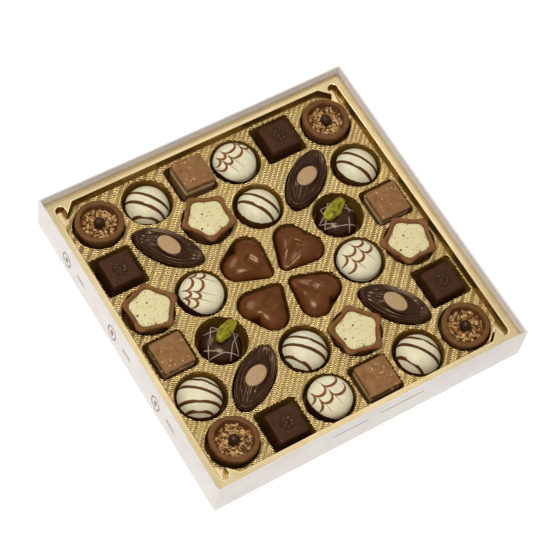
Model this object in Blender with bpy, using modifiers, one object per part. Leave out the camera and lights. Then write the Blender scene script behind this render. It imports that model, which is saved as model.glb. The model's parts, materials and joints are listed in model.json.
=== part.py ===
"""Box of chocolate pralines: a white card box without its lid, a gold formed insert with a pocket
for each sweet, and thirty-six pralines of nine kinds. Metres, +Z up. The origin is under the middle
of the box and the front is at -Y."""

import math

import bmesh
import bpy
from mathutils import Matrix, Vector

MM = 0.001

# Card box
BOX_SIDE = 190 * MM
BOX_HEIGHT = 25 * MM
CARD = 1.2 * MM
CARD_EDGE = 0.8 * MM

# Gold insert, formed from thin sheet
GAP = 0.3 * MM  # left between pieces that touch
SHEET = 0.4 * MM
SIDE_GAP = 0.5 * MM  # from the flange's edge to the card
FLANGE_Z = 19.5 * MM
PLATEAU_Z = 14.0 * MM
LIP_DROP = 2.0 * MM
RECESS_HALF = 88.6 * MM  # half the opening of the step, at the flange
RECESS_DRAFT = 0.5 * MM  # how far the step's foot lies inside its top
CHAMFER = 11.0 * MM  # legs of the cut corners of the recess
NOTCH_RADIUS = 2.65 * MM  # rounded end of the small slot in each corner
POCKET_DRAFT = 1.3 * MM  # how far a pocket's floor lies inside its rim
POCKET_FLOOR_Z = CARD + GAP + SHEET
SWEET_Z = POCKET_FLOOR_Z + GAP  # where every praline stands

# Pocket shapes: rim sizes on the plateau
POCKET_SEGMENTS = 12
ROUND_POCKET = 14.3 * MM
SMALL_SQUARE_POCKET = 11.8 * MM  # half the side
LARGE_SQUARE_POCKET = 12.4 * MM  # half the side
LENS_POCKET = (21.0 * MM, 10.9 * MM)  # half the length, half the width
HEART_CLEARANCE = 1.9 * MM
LAYOUT_SHIFT = (0.2 * MM, -0.7 * MM)  # of all the pockets together, from the middle of the box

# Pralines
TURNED_SEGMENTS = 14
PEARL_RADIUS = 3.0 * MM
PEARL_Z = 14.6 * MM  # above the cup's foot
KERNEL_HALF = (8.2 * MM, 3.5 * MM, 2.5 * MM)  # length, width, thickness
FOOT_SHARE = 0.4  # how much of a praline's shift is at its foot: the rest is its lean
LEAN_HEIGHT = 16.0 * MM  # where the whole shift shows

# Nine pockets of the back left quarter: (row, column) of the 6 x 6 layout, centre and shape.
# The other three quarters are this one turned about the middle of the box.
QUARTER = {
    (0, 0): (-71.0, 72.0, "round"),
    (0, 1): (-40.7, 72.9, "round"),
    (0, 2): (-12.6, 74.9, "small square"),
    (0, 3): (14.6, 72.8, "round"),
    (0, 4): (43.0, 74.7, "large square"),
    (1, 1): (-44.9, 43.1, "lens"),
    (1, 2): (-18.0, 47.3, "round"),
    (1, 3): (11.2, 42.8, "round"),
    (2, 2): (-11.9, 16.9, "heart"),
}
LENS_TURN = -47.0  # degrees, long axis of the back left lens pocket
HEART_TURN = -58.0  # degrees, direction of the back left heart's tip
ROW_LETTERS = "abcdef"  # a is the back row
SWEETS = (
    ("nut_cup", "striped_ball", "milk_square", "feathered_dome", "dark_square", "nut_cup"),
    ("dark_square", "nougat_lens", "cream_star", "striped_ball", "nougat_lens", "striped_ball"),
    ("cream_star", "feathered_dome", "heart", "heart", "pistachio_dome", "milk_square"),
    ("milk_square", "pistachio_dome", "heart", "heart", "feathered_dome", "cream_star"),
    ("striped_ball", "nougat_lens", "striped_ball", "cream_star", "nougat_lens", "dark_square"),
    ("nut_cup", "dark_square", "feathered_dome", "milk_square", "striped_ball", "nut_cup"),
)
STAR_TURNS = {"b3": 33.0, "c1": 2.0, "d6": 21.0, "e4": 5.0}

# How each praline has settled in its pocket: millimetres to the right and to the back at its top
SETTLED = {
    "a1": (0.5, 0.2), "a2": (0.1, -0.3), "a3": (2.0, 1.2), "a4": (-0.4, 0.5), "a5": (0.6, 0.2),
    "a6": (0.2, 0.7), "b1": (0.4, -0.4), "b2": (0.3, -0.3), "b3": (0.6, 0.9), "b4": (1.0, 0.6),
    "b5": (0.4, 0.4), "b6": (1.1, -0.3), "c1": (1.1, 0.0), "c2": (0.4, 0.0), "c3": (0.5, -0.5),
    "c4": (0.6, -0.3), "c5": (-0.8, -0.4), "c6": (0.0, -1.1), "d1": (0.1, -0.5), "d2": (-0.8, -0.6),
    "d3": (0.0, -0.3), "d4": (0.3, -0.3), "d5": (0.1, 0.5), "d6": (-0.6, 0.5), "e1": (-0.4, 1.1),
    "e2": (0.1, -0.3), "e3": (0.7, 0.2), "e4": (-0.2, -0.3), "e5": (0.1, 0.2), "e6": (-0.2, -1.0),
    "f1": (0.8, 0.3), "f2": (0.4, -0.9), "f3": (0.8, 0.2), "f4": (0.3, -0.5), "f5": (0.9, 0.0),
    "f6": (-0.4, -0.5),
}

# Kernels: millimetres from the dome's axis to where it touches, then the degrees of that side, of
# the long axis and of the slope that it lies on
KERNELS = {"c5": (2.6, 105.0, 23.0, 8.0), "d2": (5.0, 33.0, 28.0, 9.0)}

COLOURS = {
    "card_white": (0.87, 0.84, 0.83, 0.55, 0.0),
    "gold_sheet": (0.78, 0.62, 0.32, 0.28, 1.0),
    "milk_chocolate": (0.17, 0.075, 0.035, 0.38, 0.0),
    "dark_chocolate": (0.045, 0.02, 0.012, 0.32, 0.0),
    "ivory_chocolate": (0.78, 0.72, 0.47, 0.35, 0.0),
    "nougat_filling": (0.47, 0.33, 0.19, 0.6, 0.0),
    "chopped_nuts": (0.5, 0.31, 0.14, 0.6, 0.0),
    "pistachio_green": (0.30, 0.32, 0.04, 0.5, 0.0),
}


# Scene helpers


def clear_scene():
    for obj in list(bpy.data.objects):
        bpy.data.objects.remove(obj, do_unlink=True)


def new_collection(name):
    collection = bpy.data.collections.new(name)
    bpy.context.scene.collection.children.link(collection)
    return collection


def make_material(name):
    red, green, blue, roughness, metallic = COLOURS[name]
    material = bpy.data.materials.new(name)
    material.use_nodes = True
    shader = material.node_tree.nodes["Principled BSDF"]
    shader.inputs["Base Color"].default_value = (red, green, blue, 1.0)
    shader.inputs["Roughness"].default_value = roughness
    shader.inputs["Metallic"].default_value = metallic
    return material


def mesh_from(name, bm):
    """A mesh from this bmesh, smooth across its gentle angles."""
    bmesh.ops.recalc_face_normals(bm, faces=bm.faces)
    mesh = bpy.data.meshes.new(name)
    bm.to_mesh(mesh)
    bm.free()
    mesh.shade_smooth()
    mesh.set_sharp_from_angle(angle=math.radians(40))
    return mesh


def place(name, mesh, material, matrix=None):
    """An object in the box's collection. Objects that share a mesh share its material."""
    obj = bpy.data.objects.new(name, mesh)
    obj.matrix_world = matrix or Matrix()
    if not mesh.materials:
        mesh.materials.append(material)
    BOX.objects.link(obj)
    return obj


# Outlines: lists of (x, y), anticlockwise


def arc(centre_x, centre_y, radius, start, end, count):
    """Points on an arc, both ends included. Angles are in degrees."""
    points = []
    for step in range(count):
        angle = math.radians(start + (end - start) * step / (count - 1))
        points.append((centre_x + radius * math.cos(angle), centre_y + radius * math.sin(angle)))
    return points


def circle(radius, count):
    return arc(0.0, 0.0, radius, 0.0, 360.0 * (count - 1) / count, count)


def rounded_square(half, corner, per_corner=3):
    points = []
    for quarter, (sign_x, sign_y) in enumerate(((1, 1), (-1, 1), (-1, -1), (1, -1))):
        centre = half - corner
        start = 90.0 * quarter
        points += arc(sign_x * centre, sign_y * centre, corner, start, start + 90.0, per_corner)
    return points


def lens(half_length, half_width, count, power=1.8):
    """A superellipse a little sharper than an ellipse, long along X."""
    points = []
    for step in range(count):
        angle = 2 * math.pi * step / count
        across, up = math.cos(angle), math.sin(angle)
        x = math.copysign(abs(across) ** (2 / power), across) * half_length
        y = math.copysign(abs(up) ** (2 / power), up) * half_width
        points.append((x, y))
    return points


def heart_outline(grow, cleft, lobe_points=6):
    """A plump heart with its tip at +X: one arc round the tip and one round each lobe."""
    tip_x, tip_r = 12.2 * MM, 2.6 * MM + grow
    lobe_x, lobe_y, lobe_r = -2.6 * MM, 5.8 * MM, 7.3 * MM + grow
    lean = math.degrees(math.atan2(lobe_y, tip_x - lobe_x))
    spread = math.degrees(math.asin((lobe_r - tip_r) / math.hypot(tip_x - lobe_x, lobe_y)))
    side = 90.0 - lean - spread
    back = 180.0 if cleft == 0 else 180.0 + math.degrees(math.asin(min(0.9, lobe_y / lobe_r)))
    lobe = arc(lobe_x, lobe_y, lobe_r, side, back - (8.0 if cleft else 0.0), lobe_points)
    tip = arc(tip_x, 0.0, tip_r, -side, side, 3)
    below = [(x, -y) for x, y in reversed(lobe)]
    middle = [(lobe_x - lobe_r + cleft, 0.0)] if cleft else []
    return tip + lobe + middle + below


def star_outline(tip, valley, soft=9.0):
    """Five blunt points: two at each tip and one in each valley."""
    points = []
    for arm in range(5):
        for away, radius in ((-soft, tip), (soft, tip), (36.0, valley)):
            angle = math.radians(72.0 * arm + away)
            points.append((radius * math.cos(angle), radius * math.sin(angle)))
    return points


def turned(points, degrees):
    across, up = math.cos(math.radians(degrees)), math.sin(math.radians(degrees))
    return [(x * across - y * up, x * up + y * across) for x, y in points]


def moved(points, spot):
    return [(x + spot[0], y + spot[1]) for x, y in points]


def scaled(points, factor):
    return [(x * factor, y * factor) for x, y in points]


# Solids


def add_ring(bm, points, z):
    return [bm.verts.new((x, y, z)) for x, y in points]


def bridge(bm, lower, upper):
    """Side faces between two rings that have the same number of points."""
    count = len(lower)
    for here in range(count):
        after = (here + 1) % count
        bm.faces.new((lower[here], lower[after], upper[after], upper[here]))


def loft(name, sections, apex=None):
    """A closed solid through outlines at rising heights: (outline, z) from the base to the top."""
    bm = bmesh.new()
    rings = [add_ring(bm, points, z) for points, z in sections]
    bm.faces.new(list(reversed(rings[0])))
    for lower, upper in zip(rings, rings[1:]):
        bridge(bm, lower, upper)
    if apex is None:
        bm.faces.new(rings[-1])
    else:
        peak = bm.verts.new(apex)
        top = rings[-1]
        for here in range(len(top)):
            bm.faces.new((top[here], top[(here + 1) % len(top)], peak))
    return mesh_from(name, bm)


def turned_solid(name, profile, steps=TURNED_SEGMENTS):
    """A turned shape: the profile (radius, z) runs from the top of the axis down the outside."""
    outline = bpy.data.meshes.new(name + "_profile")
    points = [(radius, 0.0, z) for radius, z in profile]
    outline.from_pydata(points, [(i, i + 1) for i in range(len(points) - 1)], [])
    lathe = bpy.data.objects.new(name + "_lathe", outline)
    bpy.context.scene.collection.objects.link(lathe)
    screw = lathe.modifiers.new("turn", "SCREW")
    screw.steps = steps
    screw.render_steps = steps
    screw.use_merge_vertices = True
    screw.merge_threshold = 0.00001
    graph = bpy.context.evaluated_depsgraph_get()
    mesh = bpy.data.meshes.new_from_object(lathe.evaluated_get(graph))
    mesh.name = name
    bpy.data.objects.remove(lathe, do_unlink=True)
    mesh.shade_smooth()
    mesh.set_sharp_from_angle(angle=math.radians(40))
    return mesh


# Card box


def make_card_box():
    """A tray of thin card: a block with its inside taken out, then its upright corners rounded."""
    bm = bmesh.new()
    bmesh.ops.create_cube(bm, size=1.0)
    bmesh.ops.scale(bm, vec=(BOX_SIDE, BOX_SIDE, BOX_HEIGHT), verts=bm.verts)
    bmesh.ops.translate(bm, vec=(0, 0, BOX_HEIGHT / 2), verts=bm.verts)
    uprights = [edge for edge in bm.edges if abs(edge.verts[0].co.z - edge.verts[1].co.z) > CARD]
    top = [face for face in bm.faces if face.normal.z > 0.5]
    bmesh.ops.inset_region(bm, faces=top, thickness=CARD, use_even_offset=True)
    wall_inside = bmesh.ops.extrude_face_region(bm, geom=top)
    sunk = [item for item in wall_inside["geom"] if isinstance(item, bmesh.types.BMVert)]
    bmesh.ops.delete(bm, geom=top, context="FACES_ONLY")
    bmesh.ops.translate(bm, vec=(0, 0, CARD - BOX_HEIGHT), verts=sunk)
    bmesh.ops.bevel(bm, geom=uprights, offset=CARD_EDGE, segments=2, affect="EDGES", profile=0.5)
    return place("card_box", mesh_from("card_box", bm), make_material("card_white"))


# Gold insert


def recess_corner_top():
    """The step's upper edge round the back left corner, up the left side and into the back side.
    A slot with a round end runs on from the left side into the land beyond the cut corner."""
    left = -RECESS_HALF
    slot_x = left + NOTCH_RADIUS
    slot_y = RECESS_HALF - NOTCH_RADIUS
    cut_start = (left, RECESS_HALF - CHAMFER)
    cut_end = (left + CHAMFER, RECESS_HALF)
    slot_side = left + 2 * NOTCH_RADIUS
    slot_end = (slot_side, RECESS_HALF - CHAMFER + 2 * NOTCH_RADIUS)
    return [cut_start] + arc(slot_x, slot_y, NOTCH_RADIUS, 180.0, 0.0, 5) + [slot_end, cut_end]


def recess_corner_foot():
    """The step's foot round the same corner: a straight cut with one point for each one above."""
    half = RECESS_HALF - RECESS_DRAFT
    start = (-half, half - CHAMFER)
    along = (0.0, 0.03, 0.1, 0.2, 0.32, 0.42, 0.5, 1.0)
    return [(start[0] + CHAMFER * share, start[1] + CHAMFER * share) for share in along]


def recess_outlines():
    """(top, foot) of the whole step, clockwise seen from above. The slots lie along the left and
    right sides, so the right half mirrors the left and the front mirrors the back."""
    top, foot = [], []
    for sign_x, sign_y in ((-1, 1), (1, 1), (1, -1), (-1, -1)):
        forward = sign_x * sign_y < 0
        for outline, corner in ((top, recess_corner_top()), (foot, recess_corner_foot())):
            points = [(-sign_x * x, sign_y * y) for x, y in corner]
            outline += points if forward else list(reversed(points))
    return top, foot


def pocket_outline(shape):
    if shape == "round":
        return circle(ROUND_POCKET, POCKET_SEGMENTS)
    if shape == "small square":
        return rounded_square(SMALL_SQUARE_POCKET, 3.0 * MM)
    if shape == "large square":
        return rounded_square(LARGE_SQUARE_POCKET, 1.6 * MM)
    if shape == "lens":
        return turned(lens(*LENS_POCKET, POCKET_SEGMENTS), LENS_TURN)
    return turned(heart_outline(HEART_CLEARANCE, 0, 5), HEART_TURN)


def pockets():
    """{(row, column): (spot, outline, turn)} for the whole insert."""
    found = {}
    for (row, column), (x, y, shape) in QUARTER.items():
        for quarter in range(4):
            turn = -90.0 * quarter
            spot = moved(turned([(x * MM, y * MM)], turn), LAYOUT_SHIFT)[0]
            found[(row, column)] = (spot, turned(pocket_outline(shape), turn), turn)
            row, column = column, 5 - row
    return found


def fill_between(bm, rings):
    """A flat sheet that spans the first ring, with a hole for each of the others."""
    edges = []
    for ring in rings:
        for here in range(len(ring)):
            pair = (ring[here], ring[(here + 1) % len(ring)])
            edges.append(bm.edges.get(pair) or bm.edges.new(pair))
    bmesh.ops.triangle_fill(bm, use_beauty=True, use_dissolve=False, edges=edges)


def make_gold_insert():
    """The sheet's upper surface, thickened downwards."""
    bm = bmesh.new()
    top_points, foot_points = recess_outlines()
    foot = add_ring(bm, foot_points, PLATEAU_Z)
    rims = []
    for spot, outline, _ in pockets().values():
        radius = sum(math.hypot(x, y) for x, y in outline) / len(outline)
        rim = add_ring(bm, moved(outline, spot), PLATEAU_Z)
        floor_outline = scaled(outline, 1 - POCKET_DRAFT / radius)
        floor = add_ring(bm, moved(floor_outline, spot), POCKET_FLOOR_Z)
        bridge(bm, floor, rim)
        bm.faces.new(floor)
        rims.append(rim)
    fill_between(bm, [foot] + rims)
    step_top = add_ring(bm, top_points, FLANGE_Z)
    bridge(bm, foot, step_top)
    edge_points = rounded_square(BOX_SIDE / 2 - CARD - SIDE_GAP, 1.5 * MM)
    edge = add_ring(bm, edge_points, FLANGE_Z)
    fill_between(bm, [edge, step_top])
    lip = add_ring(bm, edge_points, FLANGE_Z - LIP_DROP)
    bridge(bm, lip, edge)
    bmesh.ops.recalc_face_normals(bm, faces=bm.faces)
    plateau = max(bm.faces, key=lambda face: face.calc_area())
    if plateau.normal.z < 0:
        bmesh.ops.reverse_faces(bm, faces=bm.faces)
    mesh = bpy.data.meshes.new("gold_insert")
    bm.to_mesh(mesh)
    bm.free()
    mesh.shade_smooth()
    mesh.set_sharp_from_angle(angle=math.radians(40))
    insert = place("gold_insert", mesh, make_material("gold_sheet"))
    sheet = insert.modifiers.new("sheet", "SOLIDIFY")
    sheet.thickness = SHEET
    sheet.offset = -1.0
    sheet.use_even_offset = True
    return insert


# Pralines. Each function gives meshes for one kind, standing on z = 0.


def nut_cup_meshes():
    """A thick-walled cup, the chopped nuts that fill it, and a chocolate pearl on them."""
    cup = turned_solid(
        "nut_cup",
        [
            (0.0, 9.0 * MM),
            (8.9 * MM, 9.0 * MM),
            (10.0 * MM, 15.9 * MM),
            (11.4 * MM, 16.8 * MM),
            (13.2 * MM, 15.6 * MM),
            (12.6 * MM, 10.5 * MM),
            (9.6 * MM, 0.0),
            (0.0, 0.0),
        ],
    )
    heap = loft(
        "nut_filling",
        [
            (heap_ring(8.2 * MM, 0.0), 9.3 * MM),
            (heap_ring(8.8 * MM, 0.2 * MM), 13.4 * MM),
            (heap_ring(6.6 * MM, 0.2 * MM), 14.9 * MM),
        ],
        apex=(0.0, 0.0, 10.4 * MM),
    )
    bm = bmesh.new()
    bmesh.ops.create_uvsphere(bm, u_segments=8, v_segments=5, radius=PEARL_RADIUS)
    pearl = mesh_from("chocolate_pearl", bm)
    return cup, heap, pearl


def heap_ring(radius, wave):
    """A ring of a heap's outline, pushed in and out so that it isn't a plain circle."""
    points = []
    for step in range(TURNED_SEGMENTS):
        angle = 2 * math.pi * step / TURNED_SEGMENTS
        reach = radius + wave * math.sin(5 * angle)
        points.append((reach * math.cos(angle), reach * math.sin(angle)))
    return points


def dome_mesh(name, profile):
    return turned_solid(name, [(radius * MM, z * MM) for radius, z in profile])


def striped_ball_mesh():
    profile = [(0, 16.1), (5.4, 15.2), (9.5, 12.6), (11.8, 8.6), (12.1, 4.5), (10.2, 0), (0, 0)]
    return dome_mesh("striped_ball", profile)


def feathered_dome_mesh():
    profile = [(0, 16.4), (7.0, 16.0), (10.6, 14.2), (12.6, 10.0), (12.2, 4.5), (10.8, 0), (0, 0)]
    return dome_mesh("feathered_dome", profile)


PISTACHIO_DOME = [(0, 13.0), (5.0, 12.3), (9.2, 10.0), (11.5, 6.5), (11.6, 3.0), (9.8, 0), (0, 0)]


def pistachio_dome_mesh():
    return dome_mesh("pistachio_dome", PISTACHIO_DOME)


def kernel_matrix(reach, side, long_axis, slope):
    """Where the kernel lies on the dome, seen from the dome's own foot."""
    near, near_z = PISTACHIO_DOME[1]
    top_z = PISTACHIO_DOME[0][1]
    touch_z = (top_z - (top_z - near_z) * reach / near) * MM
    side, long_axis, slope = math.radians(side), math.radians(long_axis), math.radians(slope)
    outward = Vector((math.cos(side), math.sin(side), 0.0))
    normal = outward * math.sin(slope) + Vector((0.0, 0.0, math.cos(slope)))
    along = Vector((math.cos(long_axis), math.sin(long_axis), 0.0))
    along = (along - normal * along.dot(normal)).normalized()
    touch = outward * reach * MM + Vector((0.0, 0.0, touch_z))
    axes = Matrix((along, normal.cross(along), normal)).transposed().to_4x4()
    return Matrix.Translation(touch + normal * (KERNEL_HALF[2] + GAP)) @ axes


def milk_square_meshes():
    """A square in two layers: a slab of nut chocolate with rounded edges, on a block of cream."""
    half, corner, split = 9.2 * MM, 1.4 * MM, 12.0 * MM
    slab = loft(
        "milk_square",
        [
            (rounded_square(half, corner, 2), split + GAP),
            (rounded_square(half, corner, 2), 15.2 * MM),
            (rounded_square(half - 0.8 * MM, corner, 2), 16.0 * MM),
        ],
    )
    block = loft(
        "cream_layer",
        [
            (rounded_square(half - 0.4 * MM, corner, 2), 0.0),
            (rounded_square(half, corner, 2), split),
        ],
    )
    return slab, block


def dark_square_mesh():
    """A block that narrows upwards, with a low moulded rosette on top."""
    top_z, rim_z = 15.2 * MM, 14.4 * MM
    bm = bmesh.new()
    corner = 1.2 * MM
    sections = ((10.2 * MM, 0.0), (8.9 * MM, rim_z), (8.2 * MM, top_z))
    rings = [add_ring(bm, rounded_square(half, corner), z) for half, z in sections]
    bm.faces.new(list(reversed(rings[0])))
    bridge(bm, rings[0], rings[1])
    bridge(bm, rings[1], rings[2])
    rosette_low = add_ring(bm, circle(3.6 * MM, 8), top_z)
    rosette_high = add_ring(bm, circle(2.4 * MM, 8), top_z + 0.9 * MM)
    fill_between(bm, [rings[2], rosette_low])
    bridge(bm, rosette_low, rosette_high)
    bm.faces.new(rosette_high)
    return mesh_from("dark_square", bm)


def pleated(points, depth):
    """Every second point drawn in, so that the side shows pleats that run to the ends."""
    return [(x, y * (1 - depth * (index % 2))) for index, (x, y) in enumerate(points)]


def nougat_lens_meshes():
    """A long pleated lens, and the oval of nougat let into its top."""
    count = 16
    inlay_half = (6.9 * MM, 4.4 * MM)
    body = loft(
        "nougat_lens",
        [
            (lens(16.0 * MM, 7.4 * MM, count), 0.0),
            (lens(19.3 * MM, 9.4 * MM, count), 6.5 * MM),
            (pleated(lens(18.0 * MM, 8.8 * MM, count), 0.05), 11.8 * MM),
            (lens(6.9 * MM + GAP, 4.4 * MM + GAP, count, 2.0), 15.8 * MM),
            (lens(6.9 * MM + GAP, 4.4 * MM + GAP, count, 2.0), 14.4 * MM),
        ],
    )
    inlay = loft(
        "nougat_inlay",
        [
            (lens(*inlay_half, 12, 2.0), 14.7 * MM),
            (lens(*inlay_half, 12, 2.0), 15.9 * MM),
        ],
    )
    return body, inlay


def cream_star_meshes():
    """A round cup whose rim spreads into a five-pointed star, and the cream inside the rim."""
    body = loft(
        "cream_star",
        [
            (star_outline(9.8 * MM, 9.8 * MM, 12.0), 0.0),
            (star_outline(12.3 * MM, 11.9 * MM, 12.0), 12.0 * MM),
            (star_outline(15.6 * MM, 12.5 * MM), 13.9 * MM),
            (star_outline(14.8 * MM, 11.8 * MM), 15.6 * MM),
            (star_outline(12.4 * MM, 9.8 * MM), 15.2 * MM),
            (star_outline(11.8 * MM, 9.2 * MM), 12.6 * MM),
        ],
    )
    filling = loft(
        "cream_filling",
        [
            (star_outline(11.5 * MM, 8.9 * MM), 12.9 * MM),
            (star_outline(11.9 * MM, 9.3 * MM), 14.7 * MM),
        ],
    )
    return body, filling


def heart_mesh():
    return loft(
        "heart",
        [
            (scaled(heart_outline(0, 1.2 * MM), 0.86), 0.0),
            (scaled(heart_outline(0, 1.5 * MM), 1.03), 5.0 * MM),
            (scaled(heart_outline(0, 1.9 * MM), 1.04), 10.5 * MM),
            (scaled(heart_outline(0, 2.4 * MM), 0.88), 14.0 * MM),
            (scaled(heart_outline(0, 2.8 * MM), 0.5), 15.6 * MM),
        ],
        apex=(1.0 * MM, 0.0, 15.8 * MM),
    )


def kernel_mesh():
    """A pistachio kernel: a long round body, a little flattened."""
    bm = bmesh.new()
    bmesh.ops.create_uvsphere(bm, u_segments=8, v_segments=5, radius=1.0)
    bmesh.ops.rotate(bm, verts=bm.verts, cent=(0, 0, 0), matrix=Matrix.Rotation(math.pi / 2, 3, "Y"))
    bmesh.ops.scale(bm, vec=KERNEL_HALF, verts=bm.verts)
    return mesh_from("pistachio_kernel", bm)


def settled_matrix(seat, spot, mesh, turn):
    """Where a praline stands. One that has shifted to a side leans that way, on its foot's edge."""
    shift = Vector((SETTLED[seat][0] * MM, SETTLED[seat][1] * MM, 0.0))
    lean = math.atan2(shift.length * (1 - FOOT_SHARE), LEAN_HEIGHT)
    hinge = Vector((0.0, 0.0, 1.0)).cross(shift)
    upright = Matrix.Rotation(math.radians(turn), 4, "Z")
    leaning = Matrix.Rotation(lean, 4, hinge) @ upright if shift.length else upright
    lowest = min((leaning @ vert.co).z for vert in mesh.vertices)
    foot = Vector((spot[0], spot[1], SWEET_Z - lowest)) + shift * FOOT_SHARE
    return Matrix.Translation(foot) @ leaning


def place_sweets():
    milk, dark = make_material("milk_chocolate"), make_material("dark_chocolate")
    ivory, nougat = make_material("ivory_chocolate"), make_material("nougat_filling")
    nuts, green = make_material("chopped_nuts"), make_material("pistachio_green")
    cup, heap, pearl = nut_cup_meshes()
    lens_body, inlay = nougat_lens_meshes()
    star_body, filling = cream_star_meshes()
    slab, layer = milk_square_meshes()
    kernel = kernel_mesh()
    bodies = {
        "striped_ball": (striped_ball_mesh(), ivory),
        "feathered_dome": (feathered_dome_mesh(), ivory),
        "milk_square": (slab, milk),
        "dark_square": (dark_square_mesh(), dark),
        "heart": (heart_mesh(), milk),
        "pistachio_dome": (pistachio_dome_mesh(), dark),
        "nut_cup": (cup, milk),
        "nougat_lens": (lens_body, dark),
        "cream_star": (star_body, milk),
    }
    own_turn = {"nougat_lens": LENS_TURN, "heart": HEART_TURN}
    for (row, column), (spot, _, pocket_turn) in sorted(pockets().items()):
        kind = SWEETS[row][column]
        seat = ROW_LETTERS[row] + str(column + 1)
        mesh, material = bodies[kind]
        turn = STAR_TURNS.get(seat, pocket_turn + own_turn.get(kind, 0.0))
        stand = settled_matrix(seat, spot, layer if kind == "milk_square" else mesh, turn)
        place(kind + "_" + seat, mesh, material, stand)
        if kind == "nougat_lens":
            place("nougat_inlay_" + seat, inlay, nougat, stand)
        elif kind == "milk_square":
            place("cream_layer_" + seat, layer, ivory, stand)
        elif kind == "cream_star":
            place("cream_filling_" + seat, filling, ivory, stand)
        elif kind == "nut_cup":
            place("nut_filling_" + seat, heap, nuts, stand)
            place("chocolate_pearl_" + seat, pearl, dark, stand @ Matrix.Translation((0, 0, PEARL_Z)))
        elif kind == "pistachio_dome":
            unturned = stand @ Matrix.Rotation(math.radians(-turn), 4, "Z")
            on_dome = unturned @ kernel_matrix(*KERNELS[seat])
            place("pistachio_kernel_" + seat, kernel, green, on_dome)


clear_scene()
BOX = new_collection("praline_box")
make_card_box()
make_gold_insert()
place_sweets()
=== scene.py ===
# %% [markdown]
# # A box of chocolate pralines
#
# This lesson dresses a finished model of an open box of pralines. The solids come in as a fixed
# frame: a card tray, a gold insert with thirty-six pockets, and nine kinds of sweet. Every part of the
# lesson takes one piece, says what it is on the real box and how it could be made, and then makes it.
#
# The shapes below are drawn in millimetres in their own small frames, because that is how a
# confectioner measures a mould. They become metres when a mesh is made.

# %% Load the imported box
import json
import math
import random

import bmesh
import bpy
from mathutils import Matrix, Vector, noise
from mathutils.geometry import delaunay_2d_cdt

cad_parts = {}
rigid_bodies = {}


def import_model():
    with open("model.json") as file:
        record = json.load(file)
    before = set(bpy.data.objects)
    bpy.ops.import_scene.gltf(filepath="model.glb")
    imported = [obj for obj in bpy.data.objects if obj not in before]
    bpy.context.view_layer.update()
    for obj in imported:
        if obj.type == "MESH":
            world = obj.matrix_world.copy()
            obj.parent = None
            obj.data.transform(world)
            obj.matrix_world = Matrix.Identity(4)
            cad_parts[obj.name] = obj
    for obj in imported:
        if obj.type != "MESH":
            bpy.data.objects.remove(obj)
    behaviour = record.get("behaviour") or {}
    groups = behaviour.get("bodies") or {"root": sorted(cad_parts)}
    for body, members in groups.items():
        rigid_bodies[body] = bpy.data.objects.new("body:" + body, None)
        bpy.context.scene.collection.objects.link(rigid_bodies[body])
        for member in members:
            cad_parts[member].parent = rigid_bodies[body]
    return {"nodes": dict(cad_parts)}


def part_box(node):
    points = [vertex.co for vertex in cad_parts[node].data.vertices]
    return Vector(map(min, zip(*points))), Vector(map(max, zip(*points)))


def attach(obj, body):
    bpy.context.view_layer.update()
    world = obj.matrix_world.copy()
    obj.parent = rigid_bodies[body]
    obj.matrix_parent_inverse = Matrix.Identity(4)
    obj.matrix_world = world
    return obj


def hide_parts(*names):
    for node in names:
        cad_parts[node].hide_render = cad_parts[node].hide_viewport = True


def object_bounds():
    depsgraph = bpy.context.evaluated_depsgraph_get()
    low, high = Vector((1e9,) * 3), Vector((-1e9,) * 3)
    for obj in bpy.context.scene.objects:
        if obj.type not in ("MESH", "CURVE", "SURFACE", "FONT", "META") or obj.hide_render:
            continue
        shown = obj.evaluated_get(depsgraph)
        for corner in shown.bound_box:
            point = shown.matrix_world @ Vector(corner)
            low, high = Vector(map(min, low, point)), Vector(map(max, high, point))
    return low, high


for obj in list(bpy.data.objects):
    bpy.data.objects.remove(obj, do_unlink=True)
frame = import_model()
cad_low, cad_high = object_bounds()
MM = 0.001
print("solids:", len(frame["nodes"]), "| size in mm:", [round(side / MM, 1) for side in cad_high - cad_low])

# %% [markdown]
# ## Where each sweet stands
#
# Every praline leans a little in its pocket, as in a box that has been carried home. That lean could
# be typed in again for each sweet, but the solids already hold it. The flat foot of a solid gives the
# middle and the upright direction, and the farthest corners give the turn: their angles are averaged
# as arrows, multiplied by the number of corners so that they all point the same way.

# %% Read a seat from a solid
FOOT_LEAN = 2.4 * MM  # how far the high side of a leaning foot can lie above its low side


def foot_of(node):
    """The middle of a solid's flat foot, and the direction in which the solid stands up."""
    mesh = frame["nodes"][node].data
    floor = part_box(node)[0].z + FOOT_LEAN
    middle, normal, area = Vector(), Vector(), 0.0
    for face in mesh.polygons:
        low_down = all(mesh.vertices[index].co.z < floor for index in face.vertices)
        if low_down and face.normal.z < -0.9:
            middle += face.center * face.area
            normal -= face.normal * face.area
            area += face.area
    return middle / area, normal.normalized()


def turn_of_corners(spokes, corners, towards, corner_angle=0.0):
    """The turn of an outline with so many corners, the one nearest to a direction.

    A spoke is a complex number in millimetres. The eighth power lets the farthest ones decide.
    """
    arrow = complex(0.0, 0.0)
    for spoke in spokes:
        arrow += abs(spoke) ** 8 * (spoke / max(abs(spoke), 0.001)) ** corners
    first = math.atan2(arrow.imag, arrow.real) / corners - math.radians(corner_angle)
    step = math.tau / corners
    return first + step * round((math.atan2(towards[1], towards[0]) - first) / step)


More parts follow.
